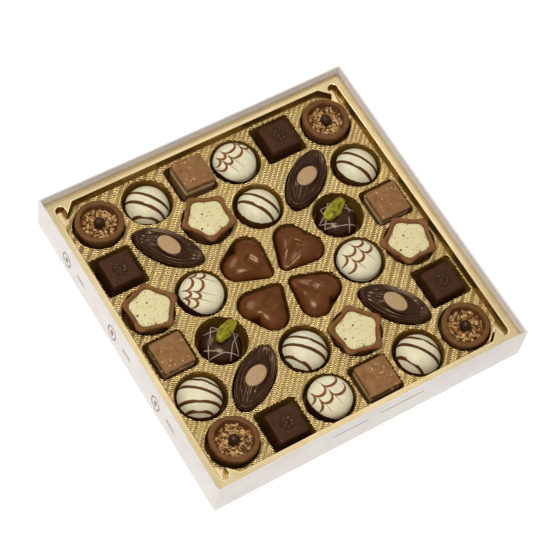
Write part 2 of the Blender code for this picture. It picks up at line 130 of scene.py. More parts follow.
def seat_of(node, corners=0, corner_angle=0.0, towards=(1.0, 0.0)):
    """The frame a sweet is built in: its foot at the origin, Z upright, X turned by its corners."""
    middle, up = foot_of(node)
    across = (Vector((1.0, 0.0, 0.0)) - up * up.x).normalized()
    side = up.cross(across)
    turn = 0.0
    if corners:
        reaches = [vertex.co - middle for vertex in frame["nodes"][node].data.vertices]
        spokes = [complex(reach.dot(across), reach.dot(side)) / MM for reach in reaches]
        turn = turn_of_corners(spokes, corners, towards, corner_angle)
    matrix = Matrix((across, side, up)).transposed().to_4x4()
    return Matrix.Translation(middle) @ matrix @ Matrix.Rotation(turn, 4, "Z")


def seated(seat, point):
    """A point in a sweet's own millimetres, in the millimetres of the box."""
    return seat @ (point * MM) / MM


def nodes_of(kind):
    """The solids of one kind, such as heart_c3 to heart_d4, in the order of their names."""
    return sorted(name for name in frame["nodes"] if name.rsplit("_", 1)[0] == kind)


for kind in ("nut_cup", "striped_ball", "feathered_dome", "heart"):
    print(kind, [name[-2:] for name in nodes_of(kind)])

# %% [markdown]
# ## A lump of clay
#
# Almost every piece here is a stack of closed outlines: a card wall, a shell, a heart. Lofting them
# in code gives even faces and lets each outline be a formula. The class below only collects points
# and faces, so a piece can be put together from rings, bands and caps, and it becomes one mesh at
# the end.

# %% Points and faces into a mesh


class Clay:
    """Points in millimetres and faces with a finish number, kept until they become a mesh."""

    def __init__(self):
        self.points = []
        self.faces = []
        self.finishes = []

    def ring(self, points):
        start = len(self.points)
        self.points += [Vector(point) for point in points]
        return list(range(start, start + len(points)))

    def face(self, corners, finish):
        self.faces.append(tuple(corners))
        self.finishes.append(finish)

    def band(self, lower, upper, finish=0):
        """Side faces between two rings with the same number of points."""
        for here in range(len(lower)):
            after = (here + 1) % len(lower)
            self.face((lower[here], lower[after], upper[after], upper[here]), finish)

    def cap(self, ring, finish):
        """Closes a ring with a fan of faces to its middle."""
        middle = sum((self.points[index] for index in ring), Vector()) / len(ring)
        tip = self.ring([middle])[0]
        for here in range(len(ring)):
            self.face((ring[here], ring[(here + 1) % len(ring)], tip), finish)

    def stack(self, sections, finish=0, foot=True):
        """A closed body through the sections, from the foot up. A finish can vary with the layer."""
        finish_at = finish if callable(finish) else lambda index: finish
        rings = [self.ring(points) for points in sections]
        for index, (lower, upper) in enumerate(zip(rings, rings[1:])):
            self.band(lower, upper, finish_at(index))
        if foot:
            self.cap(rings[0], finish_at(0))
        self.cap(rings[-1], finish_at(len(rings)))

    def make(self, name, materials, matrix=None, crease=None):
        """The mesh as an object in metres, smooth apart from edges sharper than crease degrees."""
        mesh = bpy.data.meshes.new(name)
        mesh.from_pydata([point * MM for point in self.points], [], self.faces)
        mesh.polygons.foreach_set("material_index", self.finishes)
        for material in materials:
            mesh.materials.append(material)
        bm = bmesh.new()
        bm.from_mesh(mesh)
        bmesh.ops.recalc_face_normals(bm, faces=bm.faces)
        bm.to_mesh(mesh)
        bm.free()
        mesh.shade_smooth()
        if crease:
            mesh.set_sharp_from_angle(angle=math.radians(crease))
        piece = bpy.data.objects.new(name, mesh)
        piece.matrix_world = matrix or Matrix()
        bpy.context.scene.collection.objects.link(piece)
        return piece


trial = Clay()
trial.stack([[(1, 1, z), (-1, 1, z), (-1, -1, z), (1, -1, z)] for z in (0, 1)])
print("a block of clay has", len(trial.points), "points and", len(trial.faces), "faces")

# %% Put a piece in its place


def dress(piece, slot, *nodes):
    """Lets a piece ride with the box and hides the solids that it stands for. Its slot, the name of its
    finish, is not used.
    """
    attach(piece, "root")
    if nodes:
        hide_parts(*nodes)
    return piece


def dress_sweet(clay, node, finishes, seat, slot):
    """The detailed piece that stands for one solid, in its seat."""
    return dress(clay.make("fine_" + node, finishes, seat), slot, node)


def make_all(kind, maker):
    """Makes the detailed piece for every solid of one kind."""
    nodes = nodes_of(kind)
    for node in nodes:
        maker(node)
    print("made", len(nodes), "of", kind)


print("kinds of sweet and filling:", sorted({name[:-3] for name in frame["nodes"] if name[-3] == "_"}))

# %% [markdown]
# ## Lines and outlines
#
# A mould's profile is a soft curve through a few measured points, so one helper draws a Catmull-Rom
# curve through them. Outlines are circles, squares with round corners, a lens, a heart and a star,
# each from its own few sizes.

# %% Curves through points


def smooth_line(points, per_span):
    """A soft curve through the points, both ends included."""
    path = []
    points = [Vector(point) for point in points]
    padded = [points[0] * 2 - points[1]] + points + [points[-1] * 2 - points[-2]]
    for before, start, end, after in zip(padded, padded[1:], padded[2:], padded[3:]):
        for step in range(per_span):
            t = step / per_span
            bend = start * 2 + (end - before) * t
            bend += (before * 2 - start * 5 + end * 4 - after) * t * t
            bend += (start * 3 - before - end * 3 + after) * t * t * t
            path.append(bend / 2)
    return path + [points[-1]]


def polar(count, radius_at):
    """An outline from a formula that gives the radius at each angle."""
    angles = [math.tau * step / count for step in range(count)]
    return [(radius_at(a) * math.cos(a), radius_at(a) * math.sin(a)) for a in angles]


def arc(centre, radius, start, end, count):
    """Points on an arc, both ends included. Angles are in degrees."""
    points = []
    for step in range(count):
        angle = math.radians(start + (end - start) * step / (count - 1))
        points.append((centre[0] + radius * math.cos(angle), centre[1] + radius * math.sin(angle)))
    return points


def evenly(points, count):
    """The same closed outline with its points at even steps along it."""
    points = [Vector(point) for point in points]
    closed = points + [points[0]]
    lengths = [(b - a).length for a, b in zip(closed, closed[1:])]
    step = sum(lengths) / count
    even, walked, side = [], 0.0, 0
    for index in range(count):
        while walked + lengths[side] < index * step - 1e-9:
            walked += lengths[side]
            side += 1
        share = (index * step - walked) / lengths[side]
        even.append(closed[side].lerp(closed[side + 1], share))
    return [(point.x, point.y) for point in even]


def ramp(value, start, end):
    """0 before start, 1 after end, and an even rise between."""
    return max(0.0, min(1.0, (value - start) / (end - start)))


def soft_ramp(value, start, end):
    """A rise that starts and ends gently."""
    share = ramp(value, start, end)
    return share * share * (3.0 - 2.0 * share)


def lifted(points, z):
    return [(x, y, z) for x, y in points]


def scaled(points, factor):
    return [(x * factor, y * factor) for x, y in points]


print("a curve through three points, at five steps a span, has",
      len(smooth_line([(0.0, 0.0), (1.0, 2.0), (2.0, 0.0)], 5)), "points")

# %% Outlines of the moulds


def rounded_square(half, corner, count):
    """A square with round corners, starting in the middle of its +X side."""
    points = [(half, 0.0)]
    for quarter, (sign_x, sign_y) in enumerate(((1, 1), (-1, 1), (-1, -1), (1, -1))):
        middle = (sign_x * (half - corner), sign_y * (half - corner))
        points += arc(middle, corner, 90.0 * quarter, 90.0 * quarter + 90.0, 8)
    return evenly(points, count)


def lens(half_length, half_width, count, power=1.8):
    """A superellipse a little sharper than an ellipse, long along X."""
    points = []
    for step in range(4 * count):
        angle = math.tau * step / (4 * count)
        x = math.copysign(abs(math.cos(angle)) ** (2.0 / power), math.cos(angle)) * half_length
        y = math.copysign(abs(math.sin(angle)) ** (2.0 / power), math.sin(angle)) * half_width
        points.append((x, y))
    return evenly(points, count)


def turned_oval(half_length, half_width, turn, count):
    """An ellipse turned by so many degrees."""
    cosine, sine = math.cos(math.radians(turn)), math.sin(math.radians(turn))
    points = []
    for step in range(count):
        angle = math.tau * step / count
        x, y = half_length * math.cos(angle), half_width * math.sin(angle)
        points.append((x * cosine - y * sine, x * sine + y * cosine))
    return points


HEART_TIP = (12.2, 2.6)  # the tip circle: how far out its middle is, and its radius
HEART_LOBE = (-2.6, 5.8, 7.3)  # a lobe circle: middle and radius


def heart_outline(grow, count, cleft=True):
    """A plump heart with its tip at +X: a round tip, two round lobes and straight sides.

    It is grown on all sides by some millimetres. Without the cleft its back is straight.
    """
    tip_x, tip_r = HEART_TIP[0], HEART_TIP[1] + grow
    lobe_x, lobe_y, lobe_r = HEART_LOBE[0], HEART_LOBE[1], HEART_LOBE[2] + grow
    lean = math.degrees(math.atan2(lobe_y, tip_x - lobe_x))
    spread = math.degrees(math.asin((lobe_r - tip_r) / math.hypot(tip_x - lobe_x, lobe_y)))
    side = 90.0 - lean - spread
    back = 180.0 + math.degrees(math.asin(lobe_y / lobe_r)) if cleft else 180.0
    lobe = arc((lobe_x, lobe_y), lobe_r, side, back, 40)
    tip = arc((tip_x, 0.0), tip_r, 0.0, side, 8)
    return evenly(tip + lobe + [(x, -y) for x, y in reversed(tip[1:] + lobe)], count)


def star_outline(tip, valley, count, point=1.2):
    """A soft star with five tips. The higher point is, the sharper they are."""
    return polar(count, lambda a: valley + (tip - valley) * ((1.0 + math.cos(5.0 * a)) / 2.0) ** point)


print("heart outline, farthest and nearest point in mm:",
      [round(pick(math.hypot(*p) for p in heart_outline(0.0, 90)), 1) for pick in (max, min)])

# %% [markdown]
# ## Camera and light
#
# The box lies on a white sheet and the camera looks down on it from the front left, from far away
# through a long lens, so that the box keeps its square shape. The light is one big soft ceiling, as
# in a white studio tent, with two strong panels and a faint one: chocolate shows its gloss only
# when something bright with an edge is there to be mirrored.

# %% Camera
CAMERA_TARGET = Vector((0.0038, 0.0035, 0.0))
CAMERA_AZIMUTH = -42.34  # degrees round the box, from the front
CAMERA_ELEVATION = 60.95
CAMERA_ROLL = 12.75
CAMERA_DISTANCE = 1.0945
CAMERA_LENS = 130.28  # mm, on a 36 mm sensor


def add_camera():
    azimuth, elevation = math.radians(CAMERA_AZIMUTH), math.radians(CAMERA_ELEVATION)
    back = Vector((math.sin(azimuth) * math.cos(elevation), -math.cos(azimuth) * math.cos(elevation),
                   math.sin(elevation)))
    level = back.cross(Vector((0.0, 0.0, -1.0))).normalized()
    upward = back.cross(level)
    camera = bpy.data.objects.new("camera", bpy.data.cameras.new("camera"))
    camera.data.lens = CAMERA_LENS
    camera.data.sensor_width = 36.0
    turn = Matrix((level, upward, back)).transposed().to_4x4()
    roll = Matrix.Rotation(math.radians(CAMERA_ROLL), 4, "Z")
    camera.matrix_world = Matrix.Translation(CAMERA_TARGET + back * CAMERA_DISTANCE) @ turn @ roll
    bpy.context.scene.collection.objects.link(camera)
    bpy.context.scene.camera = camera
    print("camera stands at", [round(value, 3) for value in camera.location])


add_camera()

# %% Soft studio light
TENT_FADE = ((0.0, (0.34, 0.32, 0.30, 1.0)), (0.9, (1.0, 0.99, 0.97, 1.0)))  # height and colour
TENT_STRENGTH = 0.58
PANELS = {  # place, size and aim in metres, and power in watts
    "key panel": ((-0.22, -0.18, 0.85), (0.30, 0.22), 2.6, (0.0, 0.0, 0.0)),
    "window panel": ((-0.30, 0.55, 0.75), (0.5, 0.35), 2.0, (0.0, 0.0, 0.0)),
    "glow panel": ((0.25, 0.27, 0.66), (0.34, 0.34), 0.18, (0.0, 0.0, 0.02)),
}


def add_panel(name, place, size, power, aim):
    """A rectangular light panel that faces the box."""
    light = bpy.data.lights.new(name, "AREA")
    light.shape = "RECTANGLE"
    light.size, light.size_y = size
    light.energy = power
    panel = bpy.data.objects.new(name, light)
    facing = (Vector(aim) - Vector(place)).to_track_quat("-Z", "Y").to_matrix().to_4x4()
    panel.matrix_world = Matrix.Translation(place) @ facing
    bpy.context.scene.collection.objects.link(panel)


def add_tent():
    """A white tent: bright overhead, dimmer towards the floor."""
    world = bpy.data.worlds.new("tent")
    bpy.context.scene.world = world
    world.use_nodes = True
    nodes, links = world.node_tree.nodes, world.node_tree.links
    coordinates = nodes.new("ShaderNodeTexCoord")
    split = nodes.new("ShaderNodeSeparateXYZ")
    fade = nodes.new("ShaderNodeValToRGB")
    for element, (position, colour) in zip(fade.color_ramp.elements, TENT_FADE):
        element.position, element.color = position, colour
    background = nodes["Background"]
    background.inputs["Strength"].default_value = TENT_STRENGTH
    links.new(coordinates.outputs["Generated"], split.inputs[0])
    links.new(split.outputs["Z"], fade.inputs["Fac"])
    links.new(fade.outputs["Color"], background.inputs["Color"])


add_tent()
for name, panel in PANELS.items():
    add_panel(name, *panel)
bpy.context.scene.view_settings.view_transform = "Standard"
print("light panels:", list(PANELS))

# %% [markdown]
# ## Finishes
#
# A finish is more than a colour. Chocolate varies in tone over a few millimetres, its gloss is
# uneven where it touched the mould or a finger, and its surface has a fine grain. Each finish below
# is one Principled shader with noise that drives the tone, the roughness and the bump. The numbers
# that never vary sit on the shader's own sockets.

# %% Nodes in a few words


def linear(code):
    """A colour written as on a colour card, such as 6b4228, as the shader's linear values."""
    values = [int(code[start:start + 2], 16) / 255.0 for start in (0, 2, 4)]
    return tuple(v / 12.92 if v <= 0.04045 else ((v + 0.055) / 1.055) ** 2.4 for v in values) + (1.0,)


def feed(tree, socket, value):
    """Sets a socket to a number or a colour, or links another node's output to it."""
    if isinstance(value, bpy.types.NodeSocket):
        tree.links.new(value, socket)
    else:
        socket.default_value = value


def place_on(tree):
    """The place on the piece, in its own metres."""
    return tree.nodes.new("ShaderNodeTexCoord").outputs["Object"]


def place_noise(tree, scale, detail=3.0):
    """A noise pattern fixed to the piece, whose features are 1 / scale metres wide."""
    pattern = tree.nodes.new("ShaderNodeTexNoise")
    settings = {"Scale": scale, "Detail": detail, "Roughness": 0.55, "Vector": place_on(tree)}
    for name, value in settings.items():
        feed(tree, pattern.inputs[name], value)
    return pattern.outputs["Fac"]


def stretched(tree, pattern, low, high):
    """The middle part of a noise pattern, stretched to reach from low to high."""
    spread = tree.nodes.new("ShaderNodeMapRange")
    settings = {"Value": pattern, "From Min": 0.3, "From Max": 0.7, "To Min": low, "To Max": high}
    for name, value in settings.items():
        feed(tree, spread.inputs[name], value)
    return spread.outputs["Result"]


def mix_colours(tree, share, first, second):
    mix = tree.nodes.new("ShaderNodeMix")
    mix.data_type = "RGBA"
    for name, value in (("Factor", share), ("A", first), ("B", second)):
        feed(tree, mix.inputs[name], value)
    return mix.outputs["Result"]


def add_bump(tree, shader, height, distance, before=None):
    """Relief on the shader, on top of relief that is already there."""
    bump = tree.nodes.new("ShaderNodeBump")
    bump.inputs["Distance"].default_value = distance
    bump.inputs["Strength"].default_value = 1.0
    tree.links.new(height, bump.inputs["Height"])
    if before:
        tree.links.new(before.outputs["Normal"], bump.inputs["Normal"])
    tree.links.new(bump.outputs["Normal"], shader.inputs["Normal"])
    return bump


print("6b4228 as the shader's red, green and blue:", [round(value, 3) for value in linear("6b4228")[:3]])

# %% A finish from two tones and a grain
PAINTED_WARM_REFLECTION = "ffdcae"  # painted reflection: every gloss is tinted warm, as if it mirrored the gold round the sweets
WAVES = 90.0  # slow waves of a moulded surface, in features a metre


def make_finish(name, deep, light, roughness, metallic=0.0, mottle=250.0, grain=1600.0, relief=0.02,
                waves=0.0, specular=0.5, subsurface=0.0):
    """Two tones mixed by mottle, a roughness range, and a grain of relief millimetres."""
    material = bpy.data.materials.new(name)
    material.use_nodes = True
    tree = material.node_tree
    shader = tree.nodes["Principled BSDF"]
    tone = stretched(tree, place_noise(tree, mottle), 0.0, 1.0)
    settings = {
        "Metallic": metallic, "Specular IOR Level": specular, "Subsurface Weight": subsurface,
        "Subsurface Scale": 2.0 * MM, "Base Color": mix_colours(tree, tone, linear(deep), linear(light)),
        "Roughness": stretched(tree, place_noise(tree, mottle * 1.7), *roughness),
    }
    # Painted reflection: the gloss of every finish that is not metal takes the warm tint.
    if not metallic:
        settings["Specular Tint"] = linear(PAINTED_WARM_REFLECTION)
    for socket, value in settings.items():
        feed(tree, shader.inputs[socket], value)
    before = None
    if waves:
        before = add_bump(tree, shader, place_noise(tree, WAVES, 1.0), waves * MM)
    add_bump(tree, shader, place_noise(tree, grain), relief * MM, before)
    return material


MILK = make_finish("milk chocolate", "562c0f", "693914", (0.17, 0.28), waves=0.15, specular=0.5)
print("milk chocolate is made of", len(MILK.node_tree.nodes), "nodes")

# %% The finishes of the sweets
MILK_MATTE = make_finish("milk chocolate, dipped", "654022", "764e2d", (0.42, 0.55), relief=0.05,
                         specular=0.3)
MILK_CUT = make_finish("nut chocolate, cut", "7e5735", "9a714a", (0.5, 0.62), relief=0.08, specular=0.25)
DARK = make_finish("dark chocolate", "28120a", "361b0e", (0.15, 0.26), waves=0.06, specular=0.5)
BROWN_FOOT = make_finish("dipped foot", "3d220f", "4c2c15", (0.25, 0.38), specular=0.4)
DARK_MATTE = make_finish("dark chocolate, moulded", "3b2115", "46291a", (0.34, 0.44), relief=0.04,
                         specular=0.25)
BROWN_LINE = make_finish("brown line", "4f2b14", "60371c", (0.35, 0.5), specular=0.3)
FEATHER_LINE = make_finish("feathered line", "74421f", "8c5530", (0.35, 0.5), specular=0.3)
NEEDLE_LINE = make_finish("line drawn thin by the needle", "9a8468", "b09c80", (0.4, 0.5), specular=0.3)
IVORY = make_finish("ivory chocolate", "e2d9b2", "eee7ca", (0.3, 0.4), subsurface=0.1, specular=0.35)
# Painted shade: a greyer copy of the ivory, for the side of a feathered dome below its rounded top.
IVORY_PAINTED_SHADE = make_finish("ivory chocolate, painted shade", "b5ac90", "d6cfb4", (0.3, 0.42), mottle=180.0,
                         specular=0.35)
CREAM_LAYER = make_finish("cream layer", "cbb27c", "dcc694", (0.5, 0.6), subsurface=0.1)
NOUGAT = make_finish("nougat", "b08f68", "bd9c76", (0.5, 0.62), mottle=900.0, relief=0.06, specular=0.3)
NUT_PALE = make_finish("chopped nut, cut side", "c29358", "e0bb84", (0.5, 0.62), mottle=700.0)
NUT_BROWN = make_finish("chopped nut, roasted side", "8e5c30", "b3804a", (0.5, 0.62), mottle=700.0)
PEARL = make_finish("chocolate pearl", "2a1712", "3c241c", (0.26, 0.38), relief=0.1, grain=700.0,
                    specular=0.4)
DRIZZLE = make_finish("pale drizzle", "a8988a", "bfb0a0", (0.4, 0.5))
print("finishes:", len(bpy.data.materials))

# %% [markdown]
# ## The card tray
#
# The box is folded from board and covered with white paper, so its walls are thin and its upper edge
# is a soft, bright line. A cube with Solidify would do, but a lofted wall allows the slight inward
# sag that such walls have between their corners.

# %% Card tray
CARD = 1.2  # thickness of the walls and the floor
CARD_ROUND = 0.35  # the soft upper edge
CORNER_ROUND = 0.8
WALL_SAG = 0.35  # how far a wall draws in at its middle
half_side = cad_high.x / MM
box_height = cad_high.z / MM


def card_finish():
    """Coated paper: nearly white, with a faint fibre and a soft gloss."""
    return make_finish("coated card", "e4dedb", "ece8e6", (0.42, 0.52), mottle=60.0, grain=2600.0,
                       relief=0.015, waves=0.12)


def wall_outline(inset, corner, z, sag):
    """The tray's outline at one height, drawn in a little between the corners."""
    points = []
    half = half_side - inset
    for x, y in rounded_square(half, max(corner, 0.05), 320):
        along_x, along_y = abs(x) / half, abs(y) / half
        if along_x > along_y:
            x -= math.copysign(sag * (1.0 - along_y ** 2) * z / box_height, x)
        else:
            y -= math.copysign(sag * (1.0 - along_x ** 2) * z / box_height, y)
        points.append((x, y, z))
    return points


def make_card_tray():
    clay = Clay()
    edge = box_height - CARD_ROUND
    sections = [
        (0.4, CORNER_ROUND, 0.0), (0.1, CORNER_ROUND, 0.15), (0.0, CORNER_ROUND, 0.5),
        (0.0, CORNER_ROUND, 8.0), (0.0, CORNER_ROUND, 16.0), (0.0, CORNER_ROUND, edge),
        (0.1, CORNER_ROUND, box_height - 0.1), (CARD_ROUND, 0.5, box_height),
        (CARD - CARD_ROUND, 0.2, box_height), (CARD - 0.1, 0.1, box_height - 0.1), (CARD, 0.1, edge),
        (CARD, 0.1, 14.0), (CARD, 0.1, CARD),
    ]
    clay.stack([wall_outline(inset, corner, z, WALL_SAG) for inset, corner, z in sections])
    return dress(clay.make("card_tray", [card_finish()], crease=50), "card_white", "card_box")


card_tray = make_card_tray()
print("card tray:", len(card_tray.data.polygons), "faces")

# %% [markdown]
# ## Print on two sides
#
# Two sides of the card carry a little grey print. Here it is plain: small framed ovals with a line
# after each on the left, and two thin lines on the front. Ink could be a mask in the card's material,
# but a flat body hardly thicker than paper keeps its edges sharp from any distance and can be left
# off by whoever wants a bare box.

# %% Print on two sides
PRINT_PROUD = 0.03  # thickness of the ink
OVAL_PLACES = (62.0, 13.0, -33.0)  # along the left side
OVAL_Z = 12.0
OVAL_FRAME = ((4.2, 6.0), (3.2, 4.9))  # half sizes of the frame's outer and inner edge
OVAL_DOT = (1.4, 2.6)
LINES_AFTER_OVAL = ((13.4, 7.5), (11.6, 9.0))  # height and length of each
OVAL_TO_LINES = 11.0
FRONT_LINES = ((-26.0, 21.0), (3.0, 27.0))  # where each starts, and its length


def on_wall(side, along, z, proud):
    """A point so far before an outer wall. Side 0 is the left wall and side 1 the front wall."""
    out = half_side - WALL_SAG * (1.0 - (along / half_side) ** 2) * z / box_height + proud
    return (-out, along, z) if side == 0 else (along, -out, z)


def add_print(clay, side, outline, hole=None):
    """A flat shape on a wall, from (along, z) points, with a hole of as many points if given."""
    rim = [[on_wall(side, along, z, proud) for along, z in outline] for proud in (0.0, PRINT_PROUD)]
    if hole is None:
        clay.stack(rim, foot=False)
        return
    hollow = [[on_wall(side, along, z, proud) for along, z in hole] for proud in (PRINT_PROUD, 0.0)]
    rings = [clay.ring(points) for points in rim + hollow]
    for lower, upper in zip(rings, rings[1:]):
        clay.band(lower, upper)


def bar(along, z, length, height):
    """A line of print, as (along, z) points."""
    return [(along, z), (along + length / 2.0, z), (along + length, z), (along + length, z + height),
            (along + length / 2.0, z + height), (along, z + height)]


def make_side_print():
    clay = Clay()
    for place in OVAL_PLACES:
        outer, inner, dot = ([(place + x, OVAL_Z + z) for x, z in turned_oval(*size, 0.0, count)]
                             for size, count in zip((*OVAL_FRAME, OVAL_DOT), (40, 40, 24)))
        add_print(clay, 0, outer, inner)
        add_print(clay, 0, dot)
        for z, length in LINES_AFTER_OVAL:
            add_print(clay, 0, bar(place - OVAL_TO_LINES - length, z, length, 0.8))
    for along, length in FRONT_LINES:
        add_print(clay, 1, bar(along, 17.0, length, 0.9))
    ink = make_finish("grey ink", "85766c", "9a8c83", (0.5, 0.6))
    return dress(clay.make("side_print", [ink], crease=40), "card_white")


print("side print:", len(make_side_print().data.polygons), "faces")

# %% [markdown]
# ## The gold insert
#
# The insert is one sheet of gold film, heated and drawn over a mould: a smooth flange, a step down
# to the land, and a pocket under each sweet. At the cut corners of the step stand slots with a round
# end and a shelf, which stiffen the film there. The land carries a fine woven emboss that runs on over
# the pocket rims and leaves them toothed. Modelling this as a height map would smear the steep
# pocket walls, so the land is a flat triangulation with holes, and each pocket is a band of rings
# from its rim to its floor. The places and turns of the pockets are read from the solid's floors.
# Film mirrors whatever is round it, so each place has a gold with its reflection and shade painted in:
# pale on the plain flange, darker on the embossed land, and darker still on the step and in the pockets.

# %% Find the pockets in the solid
FLANGE_Z = 19.5
LAND_Z = 14.0
POCKET_FLOOR_Z = 1.9
SHEET = 0.3  # thickness of the film


def pocket_floors():
    """The middle of each pocket's floor and its corners from there, in millimetres."""
    bm = bmesh.new()
    bm.from_mesh(frame["nodes"]["gold_insert"].data)
    bmesh.ops.remove_doubles(bm, verts=bm.verts, dist=0.01 * MM)
    bm.verts.index_update()
    bm.faces.index_update()
    bm.faces.ensure_lookup_table()
    wanted = {face.index for face in bm.faces
              if face.normal.z > 0.9 and abs(face.calc_center_median().z / MM - POCKET_FLOOR_Z) < 0.1}
    floors = []
    while wanted:
        patch, fresh = [], [min(wanted)]
        wanted.remove(fresh[0])
        while fresh:
            face = bm.faces[fresh.pop()]
            patch.append(face)
            for edge in face.edges:
                near = [other.index for other in edge.link_faces if other.index in wanted]
                wanted.difference_update(near)
                fresh += near
        area = sum(face.calc_area() for face in patch)
        middle = sum((face.calc_center_median() * face.calc_area() for face in patch), Vector()) / area
        corners = {vert.index: vert.co.copy() for face in patch for vert in face.verts}
        floors.append((middle / MM, [(corner - middle) / MM for corner in corners.values()]))
    bm.free()
    return floors


POCKET_FLOORS = pocket_floors()
print("pockets found:", len(POCKET_FLOORS))

# %% Which pocket belongs to which sweet
ROUND_POCKET = 14.3
SQUARE_POCKETS = {"milk_square": (11.8, 3.0), "dark_square": (12.4, 1.6)}  # half side and corner radius
LENS_POCKET = (20.9, 10.5)
LENS_LEAN = -0.22  # each side's widest place is moved along by this share of its distance
HEART_CLEARANCE = 1.9
HEART_RIM = 82.0  # length of a heart pocket's rim
RIM_STEP = 0.34  # distance between the points of a rim, fine enough for its teeth


def leaning(points):
    """A lens whose two sides are moved along in opposite directions."""
    return [(x + LENS_LEAN * y, y) for x, y in points]


def pocket_rim(kind, step):
    """A pocket's rim on the land, in its own frame."""
    if kind in SQUARE_POCKETS:
        half, corner = SQUARE_POCKETS[kind]
        return rounded_square(half, corner, round(8 * half / step))
    if kind == "nougat_lens":
        return leaning(lens(*LENS_POCKET, round(4.9 * LENS_POCKET[0] / step)))
    if kind == "heart":
        return heart_outline(HEART_CLEARANCE, round(HEART_RIM / step), cleft=False)
    return polar(round(math.tau * ROUND_POCKET / step), lambda a: ROUND_POCKET)


SWEET_KINDS = ("nut_cup", "striped_ball", "milk_square", "feathered_dome", "dark_square",
               "nougat_lens", "cream_star", "heart", "pistachio_dome")
TURNED_POCKETS = {"nougat_lens": 2, "heart": 3}  # their number of corners


def find_pockets():
    """(kind, middle, turn in radians) of every pocket."""
    feet = {name: foot_of(name)[0] / MM for kind in SWEET_KINDS if kind != "milk_square"
            for name in nodes_of(kind)}
    feet.update({"milk_square" + name[-3:]: foot_of(name)[0] / MM for name in nodes_of("cream_layer")})
    found = []
    for middle, corners in POCKET_FLOORS:
        name = min(feet, key=lambda key: (feet[key] - middle).length)
        kind = name[:-3]
        turn = 0.0
        if kind in TURNED_POCKETS:
            spokes = [complex(corner.x, corner.y) for corner in corners]
            turn = turn_of_corners(spokes, TURNED_POCKETS[kind], (-middle.x, -middle.y))
        found.append((kind, middle, turn))
    return found


POCKETS = find_pockets()
print("pockets by kind:", {kind: sum(1 for pocket in POCKETS if pocket[0] == kind) for kind in SWEET_KINDS})

# %% The emboss of the land
WEAVE_PITCH = 1.15  # between the fine lines, which run from the back left to the front right
WEAVE_SWAY = 0.35  # how far a line sways, as a share of its period
BAND_PITCH = 5.0  # between the soft bands across them
BAND_RISE = 0.07


def weave_at(x, y):
    """The emboss: fine lines that sway, from -1 to 1."""
    across, along = (x + y) / math.sqrt(2.0), (x - y) / math.sqrt(2.0)
    sway = WEAVE_SWAY * math.sin(math.tau * along / BAND_PITCH)
    return math.sin(math.tau * across / WEAVE_PITCH + math.tau * sway)


def land_height(x, y):
    """The land's height: soft bands and a slow unevenness from the forming."""
    along = (x - y) / math.sqrt(2.0)
    band = BAND_RISE * math.cos(math.tau * along / BAND_PITCH)
    return LAND_Z + band + 0.25 * noise.noise(Vector((x, y, 0.0)) / 22.0)


print("emboss lines across the land:", round(2 * half_side * math.sqrt(2.0) / WEAVE_PITCH))

# %% A corner of the step
RECESS_HALF = 88.6  # half the width of the recess at the flange
RECESS_DRAFT = 0.5  # how far the step's foot lies inside its top
CHAMFER = 11.0
SLOT_RADIUS = 2.65
SLOT_WALL = 0.9  # how far the slot's floor lies inside its edge
SLOT_DEPTH = 4.4


def recess_corner():
    """(top, shelf, foot) of the step round the back left corner, as (x, y, drop).

    The corner is cut, and a round-ended slot runs into the flange. The shelf is the slot's floor.
    """
    left, slot_y = -RECESS_HALF, RECESS_HALF - SLOT_RADIUS
    middle_x, slot_side = left + SLOT_RADIUS, left + 2.0 * SLOT_RADIUS
    slot = arc((middle_x, slot_y), SLOT_RADIUS, 180.0, 0.0, 15)
    top = [(left, RECESS_HALF - CHAMFER)] + slot
    top += [(slot_side, RECESS_HALF - CHAMFER + 2.0 * SLOT_RADIUS), (left + CHAMFER, RECESS_HALF)]
    half, depth = RECESS_HALF - RECESS_DRAFT, FLANGE_Z - LAND_Z
    narrow = 1.0 - SLOT_WALL / SLOT_RADIUS
    foot, shelf = [], []
    for index, (x, y) in enumerate(top):
        share = 0.5 * index / (len(top) - 2) if index < len(top) - 1 else 1.0
        foot.append((-half + CHAMFER * share, half - CHAMFER + CHAMFER * share, depth))
        if 0 < index < len(top) - 1:
            floor_y = slot_y + (y - slot_y) * narrow if y > slot_y else y
            sink = SLOT_DEPTH + 0.7 * ramp(y, RECESS_HALF, top[-2][1])
            shelf.append((middle_x + (x - middle_x) * narrow, floor_y, sink))
        else:
            part = SLOT_DEPTH / depth
            shelf.append((x + (foot[-1][0] - x) * part, y + (foot[-1][1] - y) * part, SLOT_DEPTH))
    return [(x, y, 0.0) for x, y in top], shelf, foot


print("points round a corner of the step:", len(recess_corner()[0]))

# %% The whole step
STEP_POINTS = 60  # along each straight side


def with_straights(points, corner_size, count):
    """The outline with extra points along its four long sides, which follow every corner."""
    whole = []
    for index, point in enumerate(points):
        whole.append(point)
        after = points[(index + 1) % len(points)]
        if (index + 1) % corner_size == 0:
            whole += [tuple(a + (b - a) * step / count for a, b in zip(point, after))
                      for step in range(1, count)]
    return whole


def step_outlines(fine):
    """(top, shelf, foot) of the whole step. The slots lie along the left and right sides."""
    outlines = ([], [], [])
    for sign_x, sign_y in ((-1, 1), (1, 1), (1, -1), (-1, -1)):
        for outline, corner in zip(outlines, recess_corner()):
            points = [(-sign_x * x, sign_y * y, drop) for x, y, drop in corner]
            outline += points if sign_x * sign_y < 0 else points[::-1]
    size = len(recess_corner()[0])
    return [with_straights(outline, size, STEP_POINTS if fine else 1) for outline in outlines]


